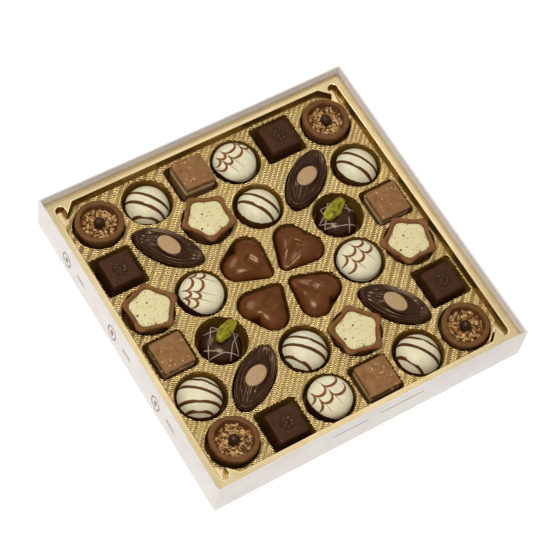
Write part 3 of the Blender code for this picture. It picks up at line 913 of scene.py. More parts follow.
def grown(points, amount):
    """The outline pushed outwards by an amount, with mitred corners, whichever way it runs."""
    flat = [Vector(point[:2]) for point in points]
    area = sum(a.cross(b) for a, b in zip(flat, flat[1:] + flat[:1]))
    sign = 1.0 if area > 0 else -1.0
    pushed = []
    for before, here, after in zip(flat[-1:] + flat[:-1], flat, flat[1:] + flat[:1]):
        first, second = (here - before).normalized() * sign, (after - here).normalized() * sign
        away = Vector((first.y + second.y, -first.x - second.x))
        place = here + away.normalized() * (amount / max(0.4, away.length / 2.0))
        pushed.append((place.x, place.y))
    return pushed


print("points on the step's edge:", len(step_outlines(True)[0]))

# %% Fill a sheet with holes


def anticlockwise(ring, clay):
    """The ring's indices, turned round if it runs clockwise seen from above."""
    flat = [clay.points[index] for index in ring]
    area = sum(a.x * b.y - b.x * a.y for a, b in zip(flat, flat[1:] + flat[:1]))
    return ring if area > 0 else ring[::-1]


def fill_sheet(clay, outer, holes, loose_points, finish, underside):
    """Triangles between an outer ring and its holes, through loose points in between."""
    rings = [anticlockwise(ring, clay) for ring in [outer] + holes]
    indices = [index for ring in rings for index in ring] + clay.ring(loose_points)
    loops, start = [], 0
    for ring in rings:
        loops.append(list(range(start, start + len(ring))))
        start += len(ring)
    flat = [Vector((clay.points[index].x, clay.points[index].y)) for index in indices]
    _, _, faces, sources, _, owners = delaunay_2d_cdt(flat, [], loops, 1, 1e-6)
    for face, owner in zip(faces, owners):
        if len(owner) == 1:
            corners = [indices[sources[index][0]] for index in face]
            clay.face(corners[::-1] if underside else corners, finish)


def inside(point, outline):
    """Whether a point lies inside a closed outline."""
    x, y = point
    crossings = 0
    for (ax, ay), (bx, by) in zip(outline, outline[1:] + outline[:1]):
        if (ay > y) != (by > y) and x < ax + (y - ay) * (bx - ax) / (by - ay):
            crossings += 1
    return crossings % 2 == 1


print("points of the land inside a pocket's rim:",
      sum(inside((x, 0.0), pocket_rim("nut_cup", 2.5)) for x in range(-20, 21)), "of 41")

# %% Rims and floors of the pockets
POCKET_DRAFT = 1.3  # how far a pocket's floor lies inside its rim
RIM_TEETH = 0.4  # how far the emboss pushes the rim in and out
RIM_STEPS = ((-0.12, 0.0, 0.0), (-0.04, 0.04, 0.5), (0.02, 0.14, 1.0), (0.08, 0.4, 1.0), (0.25, 1.4, 0.6),
             (0.6, 3.5, 0.15), (0.95, 7.0, 0.0))  # inset, drop and share of the teeth, from the rim down
FLOOR_STEPS = ((1.2, -1.0), (1.45, -0.25), (2.0, 0.0))  # inset, and height below the floor
LAND_GRID = 1.25
UNDER_STEP = 1.2  # between the points of a pocket's underside
UNDER_GAP = 0.1  # how far the underside of a wall stands clear of its inner face


def in_place(points, middle, turn):
    """A pocket's outline, turned and moved to its place on the land."""
    cosine, sine = math.cos(turn), math.sin(turn)
    return [(x * cosine - y * sine + middle.x, x * sine + y * cosine + middle.y) for x, y in points]


def pocket_sections(kind, middle, turn, fine):
    """A pocket's rings from its rim on the land down to its floor."""
    rim = pocket_rim(kind, RIM_STEP if fine else UNDER_STEP)
    radius = sum(math.hypot(x, y) for x, y in rim) / len(rim)
    depth = LAND_Z - POCKET_FLOOR_Z
    steps = [*RIM_STEPS, *((inset, depth + rise, 0.0) for inset, rise in FLOOR_STEPS)]
    if not fine:
        steps = [(-UNDER_GAP, SHEET, 0.0), (POCKET_DRAFT - UNDER_GAP, depth + SHEET, 0.0)]
    edge = RECESS_HALF - RECESS_DRAFT - 0.15
    rings = []
    for inset, drop, teeth in steps:
        ring = []
        for x, y in in_place(scaled(rim, 1.0 - inset / radius), middle, turn):
            push = 1.0 + RIM_TEETH * teeth * weave_at(x, y) / radius if fine else 1.0
            x, y = middle.x + (x - middle.x) * push, middle.y + (y - middle.y) * push
            x, y = max(-edge, min(edge, x)), max(-edge, min(edge, y))
            settle = land_height(x, y) - LAND_Z if fine and drop < depth - 2.0 else 0.0
            ring.append((x, y, LAND_Z + settle - drop))
        rings.append(ring)
    return rings


def land_points():
    """Loose points on the land, clear of the pockets and the step."""
    keep_out = [(middle, in_place(grown(pocket_rim(kind, 2.5), 1.0), middle, turn))
                for kind, middle, turn in POCKETS]
    reach = LENS_POCKET[0] + 3.0
    half = RECESS_HALF - RECESS_DRAFT - 1.0
    count = int(2.0 * half / LAND_GRID)
    points = []
    for row in range(count + 1):
        for column in range(count + 1):
            x, y = -half + 2.0 * half * column / count, -half + 2.0 * half * row / count
            if abs(x) + abs(y) > 2.0 * half - CHAMFER:
                continue
            near = [outline for middle, outline in keep_out
                    if abs(middle.x - x) < reach and abs(middle.y - y) < reach]
            if not any(inside((x, y), outline) for outline in near):
                points.append((x, y, land_height(x, y)))
    return points


print("rings in a pocket:", len(pocket_sections(*POCKETS[0], True)))

# %% Draw the insert
FLANGE_HALF = half_side - CARD - 0.5
LIP_DROP = 2.0  # the film's outer edge is turned down
PLAIN, EMBOSSED, POCKET, STEP = 0, 1, 2, 3  # the finishes of the film, each a gold with painted reflection and shade
STEP_EDGE = ((1.1, 0.0), (0.35, 0.0), (0.1, 0.1), (0.0, 0.4))  # outset and drop where the flange bends down
LIP_EDGE = ((1.2, 0.0), (0.3, 0.0), (0.1, 0.1), (0.0, 0.4), (0.0, LIP_DROP))  # inset and drop


def flange_height(x, y):
    """The flange's height, with a slow unevenness."""
    return FLANGE_Z + 0.12 * noise.noise(Vector((x, y, 40.0)) / 30.0)


def add_pockets(clay, fine):
    """All the pockets of one side of the film. Gives their rims."""
    rims = []
    for kind, middle, turn in POCKETS:
        rings = [clay.ring(ring) for ring in pocket_sections(kind, middle, turn, fine)]
        # Below the two bands of the rim, the walls and the floor take the darker pocket gold: painted shade
        # and reflection.
        for index, (upper, under) in enumerate(zip(rings, rings[1:])):
            clay.band(under, upper, (EMBOSSED if index < 2 else POCKET) if fine else PLAIN)
        clay.cap(rings[-1], POCKET if fine else PLAIN)
        rims.append(rings[0])
    return rims


def add_step(clay, fine, foot_ring, lower, back):
    """The step from the flange down to the ring round the land. Gives the ring on the flange."""
    top, shelf, foot = step_outlines(fine)
    rings = [clay.ring([(x, y, flange_height(x, y) - drop) for x, y in grown(top, amount)])
             for amount, drop in (STEP_EDGE if fine else [(back, lower)])]
    rings.append(clay.ring([(x, y, flange_height(x, y) - drop - lower)
                            for (x, y), (_, _, drop) in zip(grown(shelf, back), shelf)]))
    # The bend at the top keeps the flange gold; below it the step takes the darker step gold, painted shade.
    for index, (upper, under) in enumerate(zip(rings, rings[1:])):
        clay.band(under, upper, STEP if fine and index > 1 else PLAIN)
    for here in range(len(foot_ring)):
        after = (here + 1) % len(foot_ring)
        # The slot floors take the pale flange gold, painted light; the rest of the foot band takes the step
        # gold, painted shade.
        slot_floor = math.dist(shelf[here][:2], foot[here][:2]) > 1.5
        clay.face((foot_ring[here], foot_ring[after], rings[-1][after], rings[-1][here]),
                  STEP if fine and not slot_floor else PLAIN)
    return rings[0]


def add_sheet_side(clay, fine):
    """One side of the film. Gives the ring at the foot of its outer lip."""
    lower, back = (0.0, 0.0) if fine else (SHEET, UNDER_GAP + 0.2)
    foot = grown(step_outlines(fine)[2], back)
    foot_ring = clay.ring([(x, y, land_height(x, y) if fine else LAND_Z - lower) for x, y in foot])
    rims = add_pockets(clay, fine)
    fill_sheet(clay, foot_ring, rims, land_points() if fine else [], EMBOSSED if fine else PLAIN, not fine)
    step_ring = add_step(clay, fine, foot_ring, lower, back)
    lips = []
    for inset, drop in LIP_EDGE:
        outline = rounded_square(FLANGE_HALF - inset - lower, 1.5, 320)
        lips.append(clay.ring([(x, y, flange_height(x, y) - drop - lower * (drop < LIP_DROP))
                               for x, y in outline]))
    for upper, under in zip(lips, lips[1:]):
        clay.band(under, upper)
    fill_sheet(clay, lips[0], [step_ring], [], PLAIN, not fine)
    return lips[-1]


print("height of the flange at two corners in mm:", [round(flange_height(x, x), 2) for x in (-92.0, 92.0)])

# %% Gold film
GOLD_PLAIN, GOLD_EMBOSSED = ("eed59c", "f8e2b4"), ("c8a96a", "dabd82")  # deep and light tone, painted reflection: paler on the flange, darker on the land
EMBOSS_RISE = 0.13  # how far the finest lines stand up


def calculate(tree, operation, *values):
    """One arithmetic node. A value is a number or another node's output."""
    node = tree.nodes.new("ShaderNodeMath")
    node.operation = operation
    for socket, value in zip(node.inputs, values):
        feed(tree, socket, value)
    return node.outputs[0]


def gold_film(name, embossed):
    """Metallised film. Its emboss follows the same formula as weave_at, finer than the mesh can."""
    deep, light = GOLD_EMBOSSED if embossed else GOLD_PLAIN
    material = make_finish(name, deep, light, (0.28, 0.36) if embossed else (0.2, 0.28), 1.0,
                           mottle=70.0, grain=900.0, relief=0.01, waves=0.04)
    if not embossed:
        return material
    tree = material.node_tree
    shader = tree.nodes["Principled BSDF"]
    before = shader.inputs["Normal"].links[0].from_node
    split = tree.nodes.new("ShaderNodeSeparateXYZ")
    tree.links.new(place_on(tree), split.inputs[0])
    x, y, turn = split.outputs[0], split.outputs[1], 1.0 / (math.sqrt(2.0) * MM)
    across = calculate(tree, "MULTIPLY", calculate(tree, "ADD", x, y), turn)
    along = calculate(tree, "MULTIPLY", calculate(tree, "SUBTRACT", x, y), turn)
    sway = calculate(tree, "SINE", calculate(tree, "MULTIPLY", along, math.tau / BAND_PITCH))
    phase = calculate(tree, "MULTIPLY", across, math.tau / WEAVE_PITCH)
    phase = calculate(tree, "ADD", phase, calculate(tree, "MULTIPLY", sway, math.tau * WEAVE_SWAY))
    add_bump(tree, shader, calculate(tree, "SINE", phase), EMBOSS_RISE * MM, before)
    return material


def make_gold_tray():
    clay = Clay()
    upper_lip = add_sheet_side(clay, True)
    under_lip = add_sheet_side(clay, False)
    clay.band(under_lip, upper_lip)
    # Painted shade and reflection: a darker, half-metal gold gives the pocket walls the olive look of film
    # deep in a pocket.
    pocket = make_finish("gold film, painted shade in the pockets", "7c5618", "a2792e", (0.32, 0.42), 0.4, mottle=120.0)
    # Painted shade: a dark bronze gold for the steep step, in place of what the film would mirror there.
    step = make_finish("gold film, painted shade on the step", "8a6a2a", "b08c46", (0.24, 0.34), 0.85, mottle=60.0,
                       waves=0.08)
    finishes = [gold_film("gold film", False), gold_film("gold film, embossed", True), pocket, step]
    return dress(clay.make("gold_tray", finishes, crease=60), "gold_sheet", "gold_insert")


gold_tray = make_gold_tray()
print("gold tray:", len(gold_tray.data.polygons), "faces")

# %% [markdown]
# ## Hand-made edges
#
# Nothing that has been dipped or piped is perfectly round. A wobble is a closed random curve: it gives
# a small push for each angle, made of a few slow waves, and the same seed always gives the same curve.

# %% A wobble for round things


def wobble(seed, size, waves=(2, 3, 5)):
    """A function of the angle that strays by up to size, with so many waves round the circle."""
    dice = random.Random(seed)
    parts = [(count, dice.uniform(0.0, math.tau), dice.uniform(0.5, 1.0) / count) for count in waves]
    total = sum(weight for _, _, weight in parts)
    return lambda angle: size * sum(w * math.sin(n * angle + phase) for n, phase, w in parts) / total


def seed_of(node):
    """A fixed number for a seat, such as a1, so that each sweet has its own wobble."""
    return ord(node[-2]) * 10 + int(node[-1])


def profile_line(points, per_span=3):
    """A soft profile through (radius, height) points."""
    return [(point.x, point.y) for point in smooth_line(points, per_span)]


print("a wobble of 1 mm at four angles:", [round(wobble(7, 1.0)(a), 2) for a in (0.0, 1.6, 3.1, 4.7)])

# %% [markdown]
# ## Nut cups
#
# Each corner of the box holds a thick cup of milk chocolate, filled with chopped nuts round one
# chocolate pearl. The cup is a turned shape with a wobbling wall. The nuts are the detail that sells
# it: one hundred and more chips in each cup, every one a small block with knocked-off corners,
# thrown down in a ring by a seeded dice.

# %% Cup walls
CUP_PROFILE = [  # (radius, height), up the outside, over the rim and down to the bowl's middle
    (9.4, 0.0), (9.9, 0.5), (11.0, 4.0), (12.2, 8.6), (12.55, 10.6), (12.6, 12.2), (13.0, 13.4),
    (13.25, 14.6), (13.2, 15.9), (12.75, 16.5), (12.0, 16.75), (11.1, 16.8), (10.5, 16.6), (10.15, 16.0),
    (10.0, 15.0), (9.8, 13.4), (9.2, 12.0), (6.0, 11.5), (2.0, 11.5)]


def make_nut_cup(node):
    clay = Clay()
    seed = seed_of(node)
    outer, inner = wobble(seed, 0.5, (2, 3, 7, 12)), wobble(seed + 2, 0.6, (3, 6, 9, 13))
    lift = wobble(seed + 1, 0.3, (2, 3, 6))
    profile = profile_line(CUP_PROFILE)
    sections = []
    for index, (radius, z) in enumerate(profile):
        share = index / (len(profile) - 1)
        wall, lining = ramp(share, 0.2, 0.5), ramp(share, 0.6, 0.75) * ramp(radius, 2.0, 6.0)
        ring = []
        for x, y in polar(110, lambda a: radius + wall * (1.0 - lining) * outer(a) + lining * inner(a)):
            ring.append((x, y, z + wall * (lift(math.atan2(y, x)) - 0.3)))
        sections.append(ring)
    clay.stack(sections)
    return dress_sweet(clay, node, [MILK_MATTE], seat_of(node), "milk_chocolate")


make_all("nut_cup", make_nut_cup)

# %% Chopped nuts


def solid_of_chip():
    """The corners and faces of a block with twenty small faces."""
    bm = bmesh.new()
    bmesh.ops.create_icosphere(bm, subdivisions=1, radius=1.0)
    points = [vert.co.copy() for vert in bm.verts]
    faces = [tuple(vert.index for vert in face.verts) for face in bm.faces]
    bm.free()
    return points, faces


CHIP_POINTS, CHIP_FACES = solid_of_chip()


def add_chip(clay, seat, place, half_sizes, dice, finish):
    """A broken bit: a block with uneven corners, turned at random about its place."""
    turn = Matrix.Rotation(dice.uniform(0.0, 6.28), 3, "Z")
    turn = turn @ Matrix.Rotation(dice.uniform(-0.7, 0.7), 3, "X")
    start = len(clay.points)
    for point in CHIP_POINTS:
        knocked = Vector([value * half * dice.uniform(0.65, 1.1) for value, half in zip(point, half_sizes)])
        clay.points.append(seated(seat, Vector(place) + turn @ knocked))
    for face in CHIP_FACES:
        clay.face([start + index for index in face], finish)


NUT_RING = (3.4, 9.4)  # inner and outer radius
NUTS_IN_CUP = 140
CRUMBS_IN_CUP = 60
NUT_BED_Z = 12.2


def make_chopped_nuts():
    clay = Clay()
    for node in nodes_of("nut_cup"):
        dice = random.Random(seed_of(node))
        seat = seat_of(node)
        for index in range(NUTS_IN_CUP + CRUMBS_IN_CUP):
            angle = dice.uniform(0.0, math.tau)
            reach = math.sqrt(dice.uniform(NUT_RING[0] ** 2, NUT_RING[1] ** 2))
            large = index < NUTS_IN_CUP
            size = dice.uniform(0.85, 1.6) if large else dice.uniform(0.3, 0.6)
            half_sizes = (size, size * dice.uniform(0.45, 0.8), size * dice.uniform(0.3, 0.55))
            pile = NUT_BED_Z + (1.6 if large else 2.0) * dice.random() + 0.5 * ramp(reach, 9.5, 4.0)
            place = (reach * math.cos(angle), reach * math.sin(angle), pile)
            add_chip(clay, seat, place, half_sizes, dice, 0 if dice.random() < 0.5 else 1)
    nuts = clay.make("chopped_nuts", [NUT_PALE, NUT_BROWN], crease=25)
    return dress(nuts, "chopped_nuts", *nodes_of("nut_filling"))


print("chopped nuts:", len(make_chopped_nuts().data.polygons), "faces")

# %% Chocolate pearls
PEARL_RINGS = 18


def add_globe(clay, radius, bumps, seed):
    """A ball of rings whose surface strays by bumps."""
    sections = []
    for row in range(1, PEARL_RINGS):
        tilt = math.pi * row / PEARL_RINGS
        ring = []
        for x, y in polar(2 * PEARL_RINGS, lambda angle: math.sin(tilt)):
            away = Vector((x, y, -math.cos(tilt)))
            reach = radius + bumps * noise.noise(away * 2.6 + Vector((seed, 0.0, 0.0)))
            ring.append([value * reach for value in away])
        sections.append(ring)
    clay.stack(sections)


def make_pearl(node):
    clay = Clay()
    low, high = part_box(node)
    add_globe(clay, (high.z - low.z) / 2.0 / MM, 0.35, seed_of(node))
    return dress_sweet(clay, node, [PEARL], Matrix.Translation((low + high) / 2.0), "dark_chocolate")


make_all("chocolate_pearl", make_pearl)

# %% [markdown]
# ## Beads of chocolate
#
# Stripes and drizzle run from a bag over the finished sweet. A bead is a small tube, flattened
# against the surface it lies on, and it needs a path on the dome. A stripe in a straight line seen from
# above is where an upright plane cuts the dome, so its path comes from the dome's own profile.

# %% A bead along a path
BEAD_CORNERS = 10
BEAD_SUNK = 0.12  # how deep a bead's underside lies in the surface


def add_bead(clay, path, normals, width, height, finish=0):
    """A low half-round bead. The width is a number, or a function of the share of the way."""
    sections = []
    for index, (point, normal) in enumerate(zip(path, normals)):
        wide = width(index / (len(path) - 1)) if callable(width) else width
        ahead = path[min(index + 1, len(path) - 1)] - path[max(index - 1, 0)]
        side = ahead.cross(normal).normalized()
        ring = []
        for cosine, sine in polar(BEAD_CORNERS, lambda angle: 1.0):
            rise = sine * (height if sine > 0.0 else BEAD_SUNK)
            ring.append(point + side * (cosine * wide / 2.0) + normal * rise)
        sections.append(ring)
    clay.stack(sections, finish)


def dome_at(line, x, y):
    """The point and the outward direction of a turned dome above (x, y), from its profile line."""
    radius = math.hypot(x, y)
    widest = max(range(len(line)), key=lambda index: line[index][0])
    for (r_low, z_low), (r_high, z_high) in zip(line[widest:], line[widest + 1:]):
        if radius >= r_high:
            break
    share = max(0.0, min(1.0, (r_low - radius) / (r_low - r_high)))
    along = Vector((r_high - r_low, z_high - z_low)).normalized()
    away = Vector((x, y)) / max(radius, 1e-6)
    normal = Vector((away.x * along.y, away.y * along.y, -along.x))
    return Vector((x, y, z_low + (z_high - z_low) * share)), normal


def lay_bead(clay, profile, seat, track, width, height, finish=0):
    """A bead over a dome, along a track of (x, y) points seen from above."""
    path, normals = [], []
    line = profile_line(profile, 6)
    for x, y in track:
        point, normal = dome_at(line, x, y)
        path.append(seated(seat, point + normal * 0.05))
        normals.append((seat.to_3x3() @ normal).normalized())
    add_bead(clay, path, normals, width, height, finish)


def stripe_path(profile, offset, heading, lowest):
    """Where an upright plane cuts the dome: offset from the axis, heading in degrees."""
    ahead = Vector((math.cos(math.radians(heading)), math.sin(math.radians(heading)), 0.0))
    side = Vector((-ahead.y, ahead.x, 0.0))
    climb = [(r, z) for r, z in profile_line(profile, 6) if r > abs(offset) + 0.05 and z > lowest]
    half = [(math.sqrt(r * r - offset * offset), z) for r, z in climb]
    slopes = []
    for (r_a, z_a), (r_b, z_b) in zip(climb, climb[1:] + [(climb[-1][0] - 0.05, climb[-1][1])]):
        slopes.append(Vector((z_b - z_a, r_a - r_b)).normalized())
    points, normals = [], []
    for sign in (1.0, -1.0):
        part = list(zip(half, climb, slopes))
        for (reach, z), (radius, _), slope in part if sign > 0 else part[::-1]:
            point = ahead * (reach * sign) + side * offset + Vector((0.0, 0.0, z))
            away = Vector((point.x, point.y, 0.0)) / radius
            points.append(point)
            normals.append((away * slope.x + Vector((0.0, 0.0, slope.y))).normalized())
    return points, normals


small_dome = [(2.0, 0.0), (1.6, 1.4), (0.1, 2.0)]
print("points in a stripe over a small dome:", len(stripe_path(small_dome, 0.5, 0.0, 0.2)[0]))

# %% [markdown]
# ## Striped balls
#
# A ball has a dark foot that was dipped, and an ivory dome over it. Two to four brown lines cross
# it. Foot and dome are one turned body in layers. The rings of each layer are spread between its two
# borders at every angle, so a border can climb and wobble and the join still looks dipped, not cut.

# %% Layered domes


def along_profile(profile):
    """(point_at, share_at): the profile by share of its length, and the share that has a height."""
    line = profile_line(profile, 6)
    reach = [0.0]
    for (r_a, z_a), (r_b, z_b) in zip(line, line[1:]):
        reach.append(reach[-1] + math.hypot(r_b - r_a, z_b - z_a))

    def point_at(share):
        here = share * reach[-1]
        index = max(1, next((i for i, value in enumerate(reach) if value >= here), len(reach) - 1))
        part = (here - reach[index - 1]) / (reach[index] - reach[index - 1])
        (r_a, z_a), (r_b, z_b) = line[index - 1], line[index]
        return r_a + (r_b - r_a) * part, z_a + (z_b - z_a) * part

    def share_at(height):
        index = next((i for i, (_, z) in enumerate(line) if z >= height), len(line) - 1)
        return reach[index] / reach[-1]

    return point_at, share_at


DOME_POINTS = 120  # in each ring
LAYER_RINGS, TOP_RINGS = 12, 22


def make_layered(node, profile, borders, finishes, proud):
    """A dome in layers, from its foot up. A border gives the height of a join at an angle.

    The foot stands proud by some millimetres, and the layer over it starts with a soft step.
    """
    clay = Clay()
    stray = wobble(seed_of(node) + 3, 0.15, (2, 3, 4))
    point_at, share_at = along_profile(profile)
    angles = [math.tau * step / DOME_POINTS for step in range(DOME_POINTS)]
    joins = [[0.0] * DOME_POINTS, *([share_at(border(a)) for a in angles] for border in borders),
             [1.0] * DOME_POINTS]
    sections, layers = [], []
    for layer, (under, over) in enumerate(zip(joins, joins[1:])):
        count = LAYER_RINGS if layer < len(borders) else TOP_RINGS
        for ring in range(count + (layer == len(borders))):
            points = []
            for angle, low_share, high_share in zip(angles, under, over):
                radius, z = point_at(low_share + (high_share - low_share) * ring / count)
                swell = ramp(z, 0.0, 3.0) * ramp(z, 13.0, 9.0)
                edge = proud if layer == 0 else proud * max(0.0, 0.4 - ring / 3.0) * (layer == 1)
                radius += swell * (stray(angle) + edge)
                points.append((radius * math.cos(angle), radius * math.sin(angle), z))
            sections.append(points)
            layers.append(layer)
    clay.stack(sections, finish=lambda index: layers[min(index, len(layers) - 1)])
    return dress_sweet(clay, node, finishes, seat_of(node), "ivory_chocolate")


def dipped_edge(seed, height, climb, towards, power=1.0):
    """A join at about height that climbs by so much towards one side. A higher power narrows the climb."""
    stray = wobble(seed, 0.35, (2, 3, 5, 9))

    def border(angle):
        turn = math.cos(angle - math.radians(towards))
        return height + stray(angle) + climb * (0.5 + 0.5 * turn) ** power

    return border


print("height of a dipped edge at four angles:",
      [round(dipped_edge(1, 7.0, 2.0, 0.0)(angle), 2) for angle in (0.0, 1.6, 3.1, 4.7)])

# %% Balls
BALL_PROFILE = [(10.0, 0.0), (11.2, 1.2), (12.0, 3.4), (12.15, 5.2), (11.8, 8.0), (11.0, 10.4), (9.4, 12.6),
                (7.2, 14.3), (4.4, 15.5), (2.0, 16.0), (0.4, 16.1)]
BALL_DIPS = {  # height of the dipped edge, and how much it climbs towards the front left
    "a2": (7.4, 1.0), "b4": (7.8, 2.8), "b6": (7.8, 3.0),
    "e1": (7.8, 0.8), "e3": (7.8, 1.0), "f5": (7.8, 0.8)}


def make_ball(node):
    edge = dipped_edge(seed_of(node), *BALL_DIPS[node[-2:]], -150.0, 1.5)
    return make_layered(node, BALL_PROFILE, [edge], [BROWN_FOOT, IVORY], 0.35)


make_all("striped_ball", make_ball)

# %% Stripes over the balls
STRIPE_FROM_Z = 7.0
STRIPE_WIDTH, STRIPE_RISE = 1.85, 0.24
BALL_STRIPES = {  # for each line: its heading in degrees and its offset from the middle
    "a2": ((-52, 1.7), (-50, -3.8), (-35, -9.6)),
    "b4": ((-57, 2.2), (-58, -3.5)),
    "b6": ((-58, 2.2), (-58, -4.0)),
    "e1": ((-46, 7.0), (-45, 1.6), (-30, -5.2), (-30, -9.6)),
    "e3": ((-47, 3.5), (-47, -1.7), (-57, -8.9)),
    "f5": ((-51, 5.3), (-54, -0.5), (-64, -8.7)),
}


def make_stripes():
    clay = Clay()
    for node in nodes_of("striped_ball"):
        seat = seat_of(node)
        dice = random.Random(seed_of(node))
        for heading, offset in BALL_STRIPES[node[-2:]]:
            path, normals = stripe_path(BALL_PROFILE, offset, heading, STRIPE_FROM_Z)
            path = [seated(seat, point) for point in path]
            normals = [(seat.to_3x3() @ normal).normalized() for normal in normals]
            wave = dice.uniform(0.0, 6.0)
            add_bead(clay, path, normals,
                     lambda s: STRIPE_WIDTH + 0.2 * math.sin(9.0 * s + wave), STRIPE_RISE)
    return dress(clay.make("ball_stripes", [BROWN_LINE]), "dark_chocolate")


print("ball stripes:", len(make_stripes().data.polygons), "faces")

# %% [markdown]
# ## Feathered domes
#
# On these the brown lines lie in the ivory, drawn with a needle into hanging curves, as a baker feathers
# icing. The needle's strokes fan over the dome, and between two strokes each line hangs like a rope.
# A curve swells in its belly and thins to nothing at its ends. Below the rounded top the side is ivory
# painted greyer as shade, and the foot is dark and climbs on one side.

# %% Domes
DOME_PROFILE = [(10.2, 0.0), (11.1, 1.4), (11.7, 4.2), (12.0, 7.0), (12.1, 9.6), (11.8, 11.8), (10.9, 13.4),
                (9.1, 14.9), (6.2, 15.9), (2.9, 16.35), (0.5, 16.4)]
FOOT_CLIMB = {"a4": 4.6, "c2": 5.2, "d5": 2.6, "f3": 5.0}  # towards the left


def make_feathered_dome(node):
    seed = seed_of(node)
    foot_edge = dipped_edge(seed, 7.4, FOOT_CLIMB[node[-2:]], 200.0, 3.0)
    # The side layer is ivory painted greyer, as shade below the rounded top.
    side_edge = dipped_edge(seed + 1, 11.2, 0.6, 20.0)
    edges = [foot_edge, lambda angle: max(side_edge(angle), foot_edge(angle) + 0.4)]
    return make_layered(node, DOME_PROFILE, edges, [DARK, IVORY_PAINTED_SHADE, IVORY], 0.3)


make_all("feathered_dome", make_feathered_dome)

# %% Feathered lines
FEATHERS = {  # heading of the needle, its strokes from side to side, and how far along each curve hangs
    "a4": (-70.0, (-11.0, -6.3, -2.0, 7.2, 12.0), (-4.0, 0.9)),
    "c2": (-42.0, (-11.0, -6.7, -2.8, 5.8, 11.5), (-5.5, -0.4)),
    "d5": (-67.0, (-12.0, -5.2, 2.2, 9.5), (-3.2, 2.1)),
    "f3": (-77.0, (-13.0, -7.6, -0.5, 9.0), (-2.6, 3.1)),
}
FEATHER_DEPTH = 4.4  # how far a curve hangs below its ends
FEATHER_REACH = 11.6  # lines stop where the side turns down
FEATHER_STEPS = 26
STROKE_START = -11.0
LINE_RISE, STROKE_RISE = 0.12, 0.06


def feather_curve(left, right, belly):
    """One hanging curve between two strokes, as (along, across) points."""
    middle, half = (left + right) / 2.0, (right - left) / 2.0
    points = []
    for step in range(FEATHER_STEPS + 1):
        lean = math.pi * (step / FEATHER_STEPS - 0.5)
        points.append((belly - FEATHER_DEPTH * (1.0 - max(0.0, math.cos(lean)) ** 0.75),
                       middle + half * math.sin(lean) * 0.98))
    return points


def within(track, reach):
    """The longest stretch of a track that lies inside a circle."""
    best, run = [], []
    for point in track + [None]:
        if point and math.hypot(*point) < reach:
            run.append(point)
        else:
            best, run = max(best, run, key=len), []
    return best


def make_feathers():
    clay = Clay()
    for node in nodes_of("feathered_dome"):
        seat = seat_of(node)
        dice = random.Random(seed_of(node))
        heading, strokes, bellies = FEATHERS[node[-2:]]
        ahead = (math.cos(math.radians(heading)), math.sin(math.radians(heading)))

        def from_above(points):
            """The points turned to the needle's heading, as far as they lie on the dome's top."""
            track = [(u * ahead[0] - v * ahead[1], u * ahead[1] + v * ahead[0]) for u, v in points]
            return within(track, FEATHER_REACH)

        for left, right in zip(strokes, strokes[1:]):
            for belly in bellies:
                track = from_above(feather_curve(left, right, belly + dice.uniform(-0.4, 0.4)))
                if len(track) > 6:
                    lay_bead(clay, DOME_PROFILE, seat, track,
                             lambda s: 0.45 + 1.15 * math.sin(math.pi * s) ** 1.1, LINE_RISE)
        for stroke in strokes[1:-1]:
            end = dice.uniform(6.5, 8.5)
            track = from_above([(STROKE_START + (end - STROKE_START) * step / 30, stroke + 0.03 * step)
                                for step in range(31)])
            lay_bead(clay, DOME_PROFILE, seat, track,
                     lambda s: 0.2 + 0.35 * math.sin(math.pi * s), STROKE_RISE, 1)
    return dress(clay.make("feathered_lines", [FEATHER_LINE, NEEDLE_LINE]), "dark_chocolate")


print("feathered lines:", len(make_feathers().data.polygons), "faces")

# %% [markdown]
# ## Hearts
#
# A moulded heart is a plump pillow with a short dip below the cleft between its lobes. Its rings are
# the outline drawn in towards a middle, each at the height of a pillow that is round at the edge and
# almost flat inside. On the way in, the heart turns into an egg, so no crease runs to the middle, and
# the dip is a soft trough that fades before it gets there.

# %% Hearts
HEART_CENTRE = (1.0, 0.0)
HEART_WIDE = 1.04  # its widest ring, as a share of the outline
HEART_SHOULDER_Z = 9.8
HEART_WALL = [(0.86, 0.0), (0.9, 0.35), (0.97, 2.4), (1.02, 5.0), (HEART_WIDE, 7.6),
              (HEART_WIDE, HEART_SHOULDER_Z)]  # share of the outline, and height
HEART_POINTS, PILLOW_RINGS = 120, 26


def heart_height(share, x, y):
    """The pillow over the shoulder: round at its edge, with a short dip below the cleft."""
    pillow = 6.0 * (1.0 - share ** 2.6) ** 0.6
    dip = 2.0 * math.exp(-(y / 2.8) ** 2) * soft_ramp(x, HEART_CENTRE[0] - 3.0, HEART_LOBE[0] + 3.0)
    fall = 1.3 * soft_ramp(x, HEART_CENTRE[0] + 4.0, HEART_TIP[0])
    return max(0.0, pillow - dip * (1.0 - share ** 4) - fall * (1.0 - share ** 2))


def egg_of(outline):
    """The outline with its cleft and its tip smoothed away: each point's radius from two slow waves."""
    spokes = [(x - HEART_CENTRE[0], y - HEART_CENTRE[1]) for x, y in outline]
    turns = [math.atan2(y, x) for x, y in spokes]
    reaches = [math.hypot(x, y) for x, y in spokes]
    mean = sum(reaches) / len(reaches)
    once, twice = (2.0 * sum(r * math.cos(n * turn) for r, turn in zip(reaches, turns)) / len(turns)
                   for n in (1, 2))
    radii = [mean + once * math.cos(turn) + 0.5 * twice * math.cos(2.0 * turn) for turn in turns]
    return [(HEART_CENTRE[0] + r * math.cos(turn), HEART_CENTRE[1] + r * math.sin(turn))
            for r, turn in zip(radii, turns)]


def area_middle(outline):
    """How far along X the middle of an outline's area lies."""
    area, moment = 0.0, 0.0
    for (ax, ay, _), (bx, by, _) in zip(outline, outline[1:] + outline[:1]):
        cross = ax * by - bx * ay
        area += cross
        moment += (ax + bx) * cross / 3.0
    return moment / area


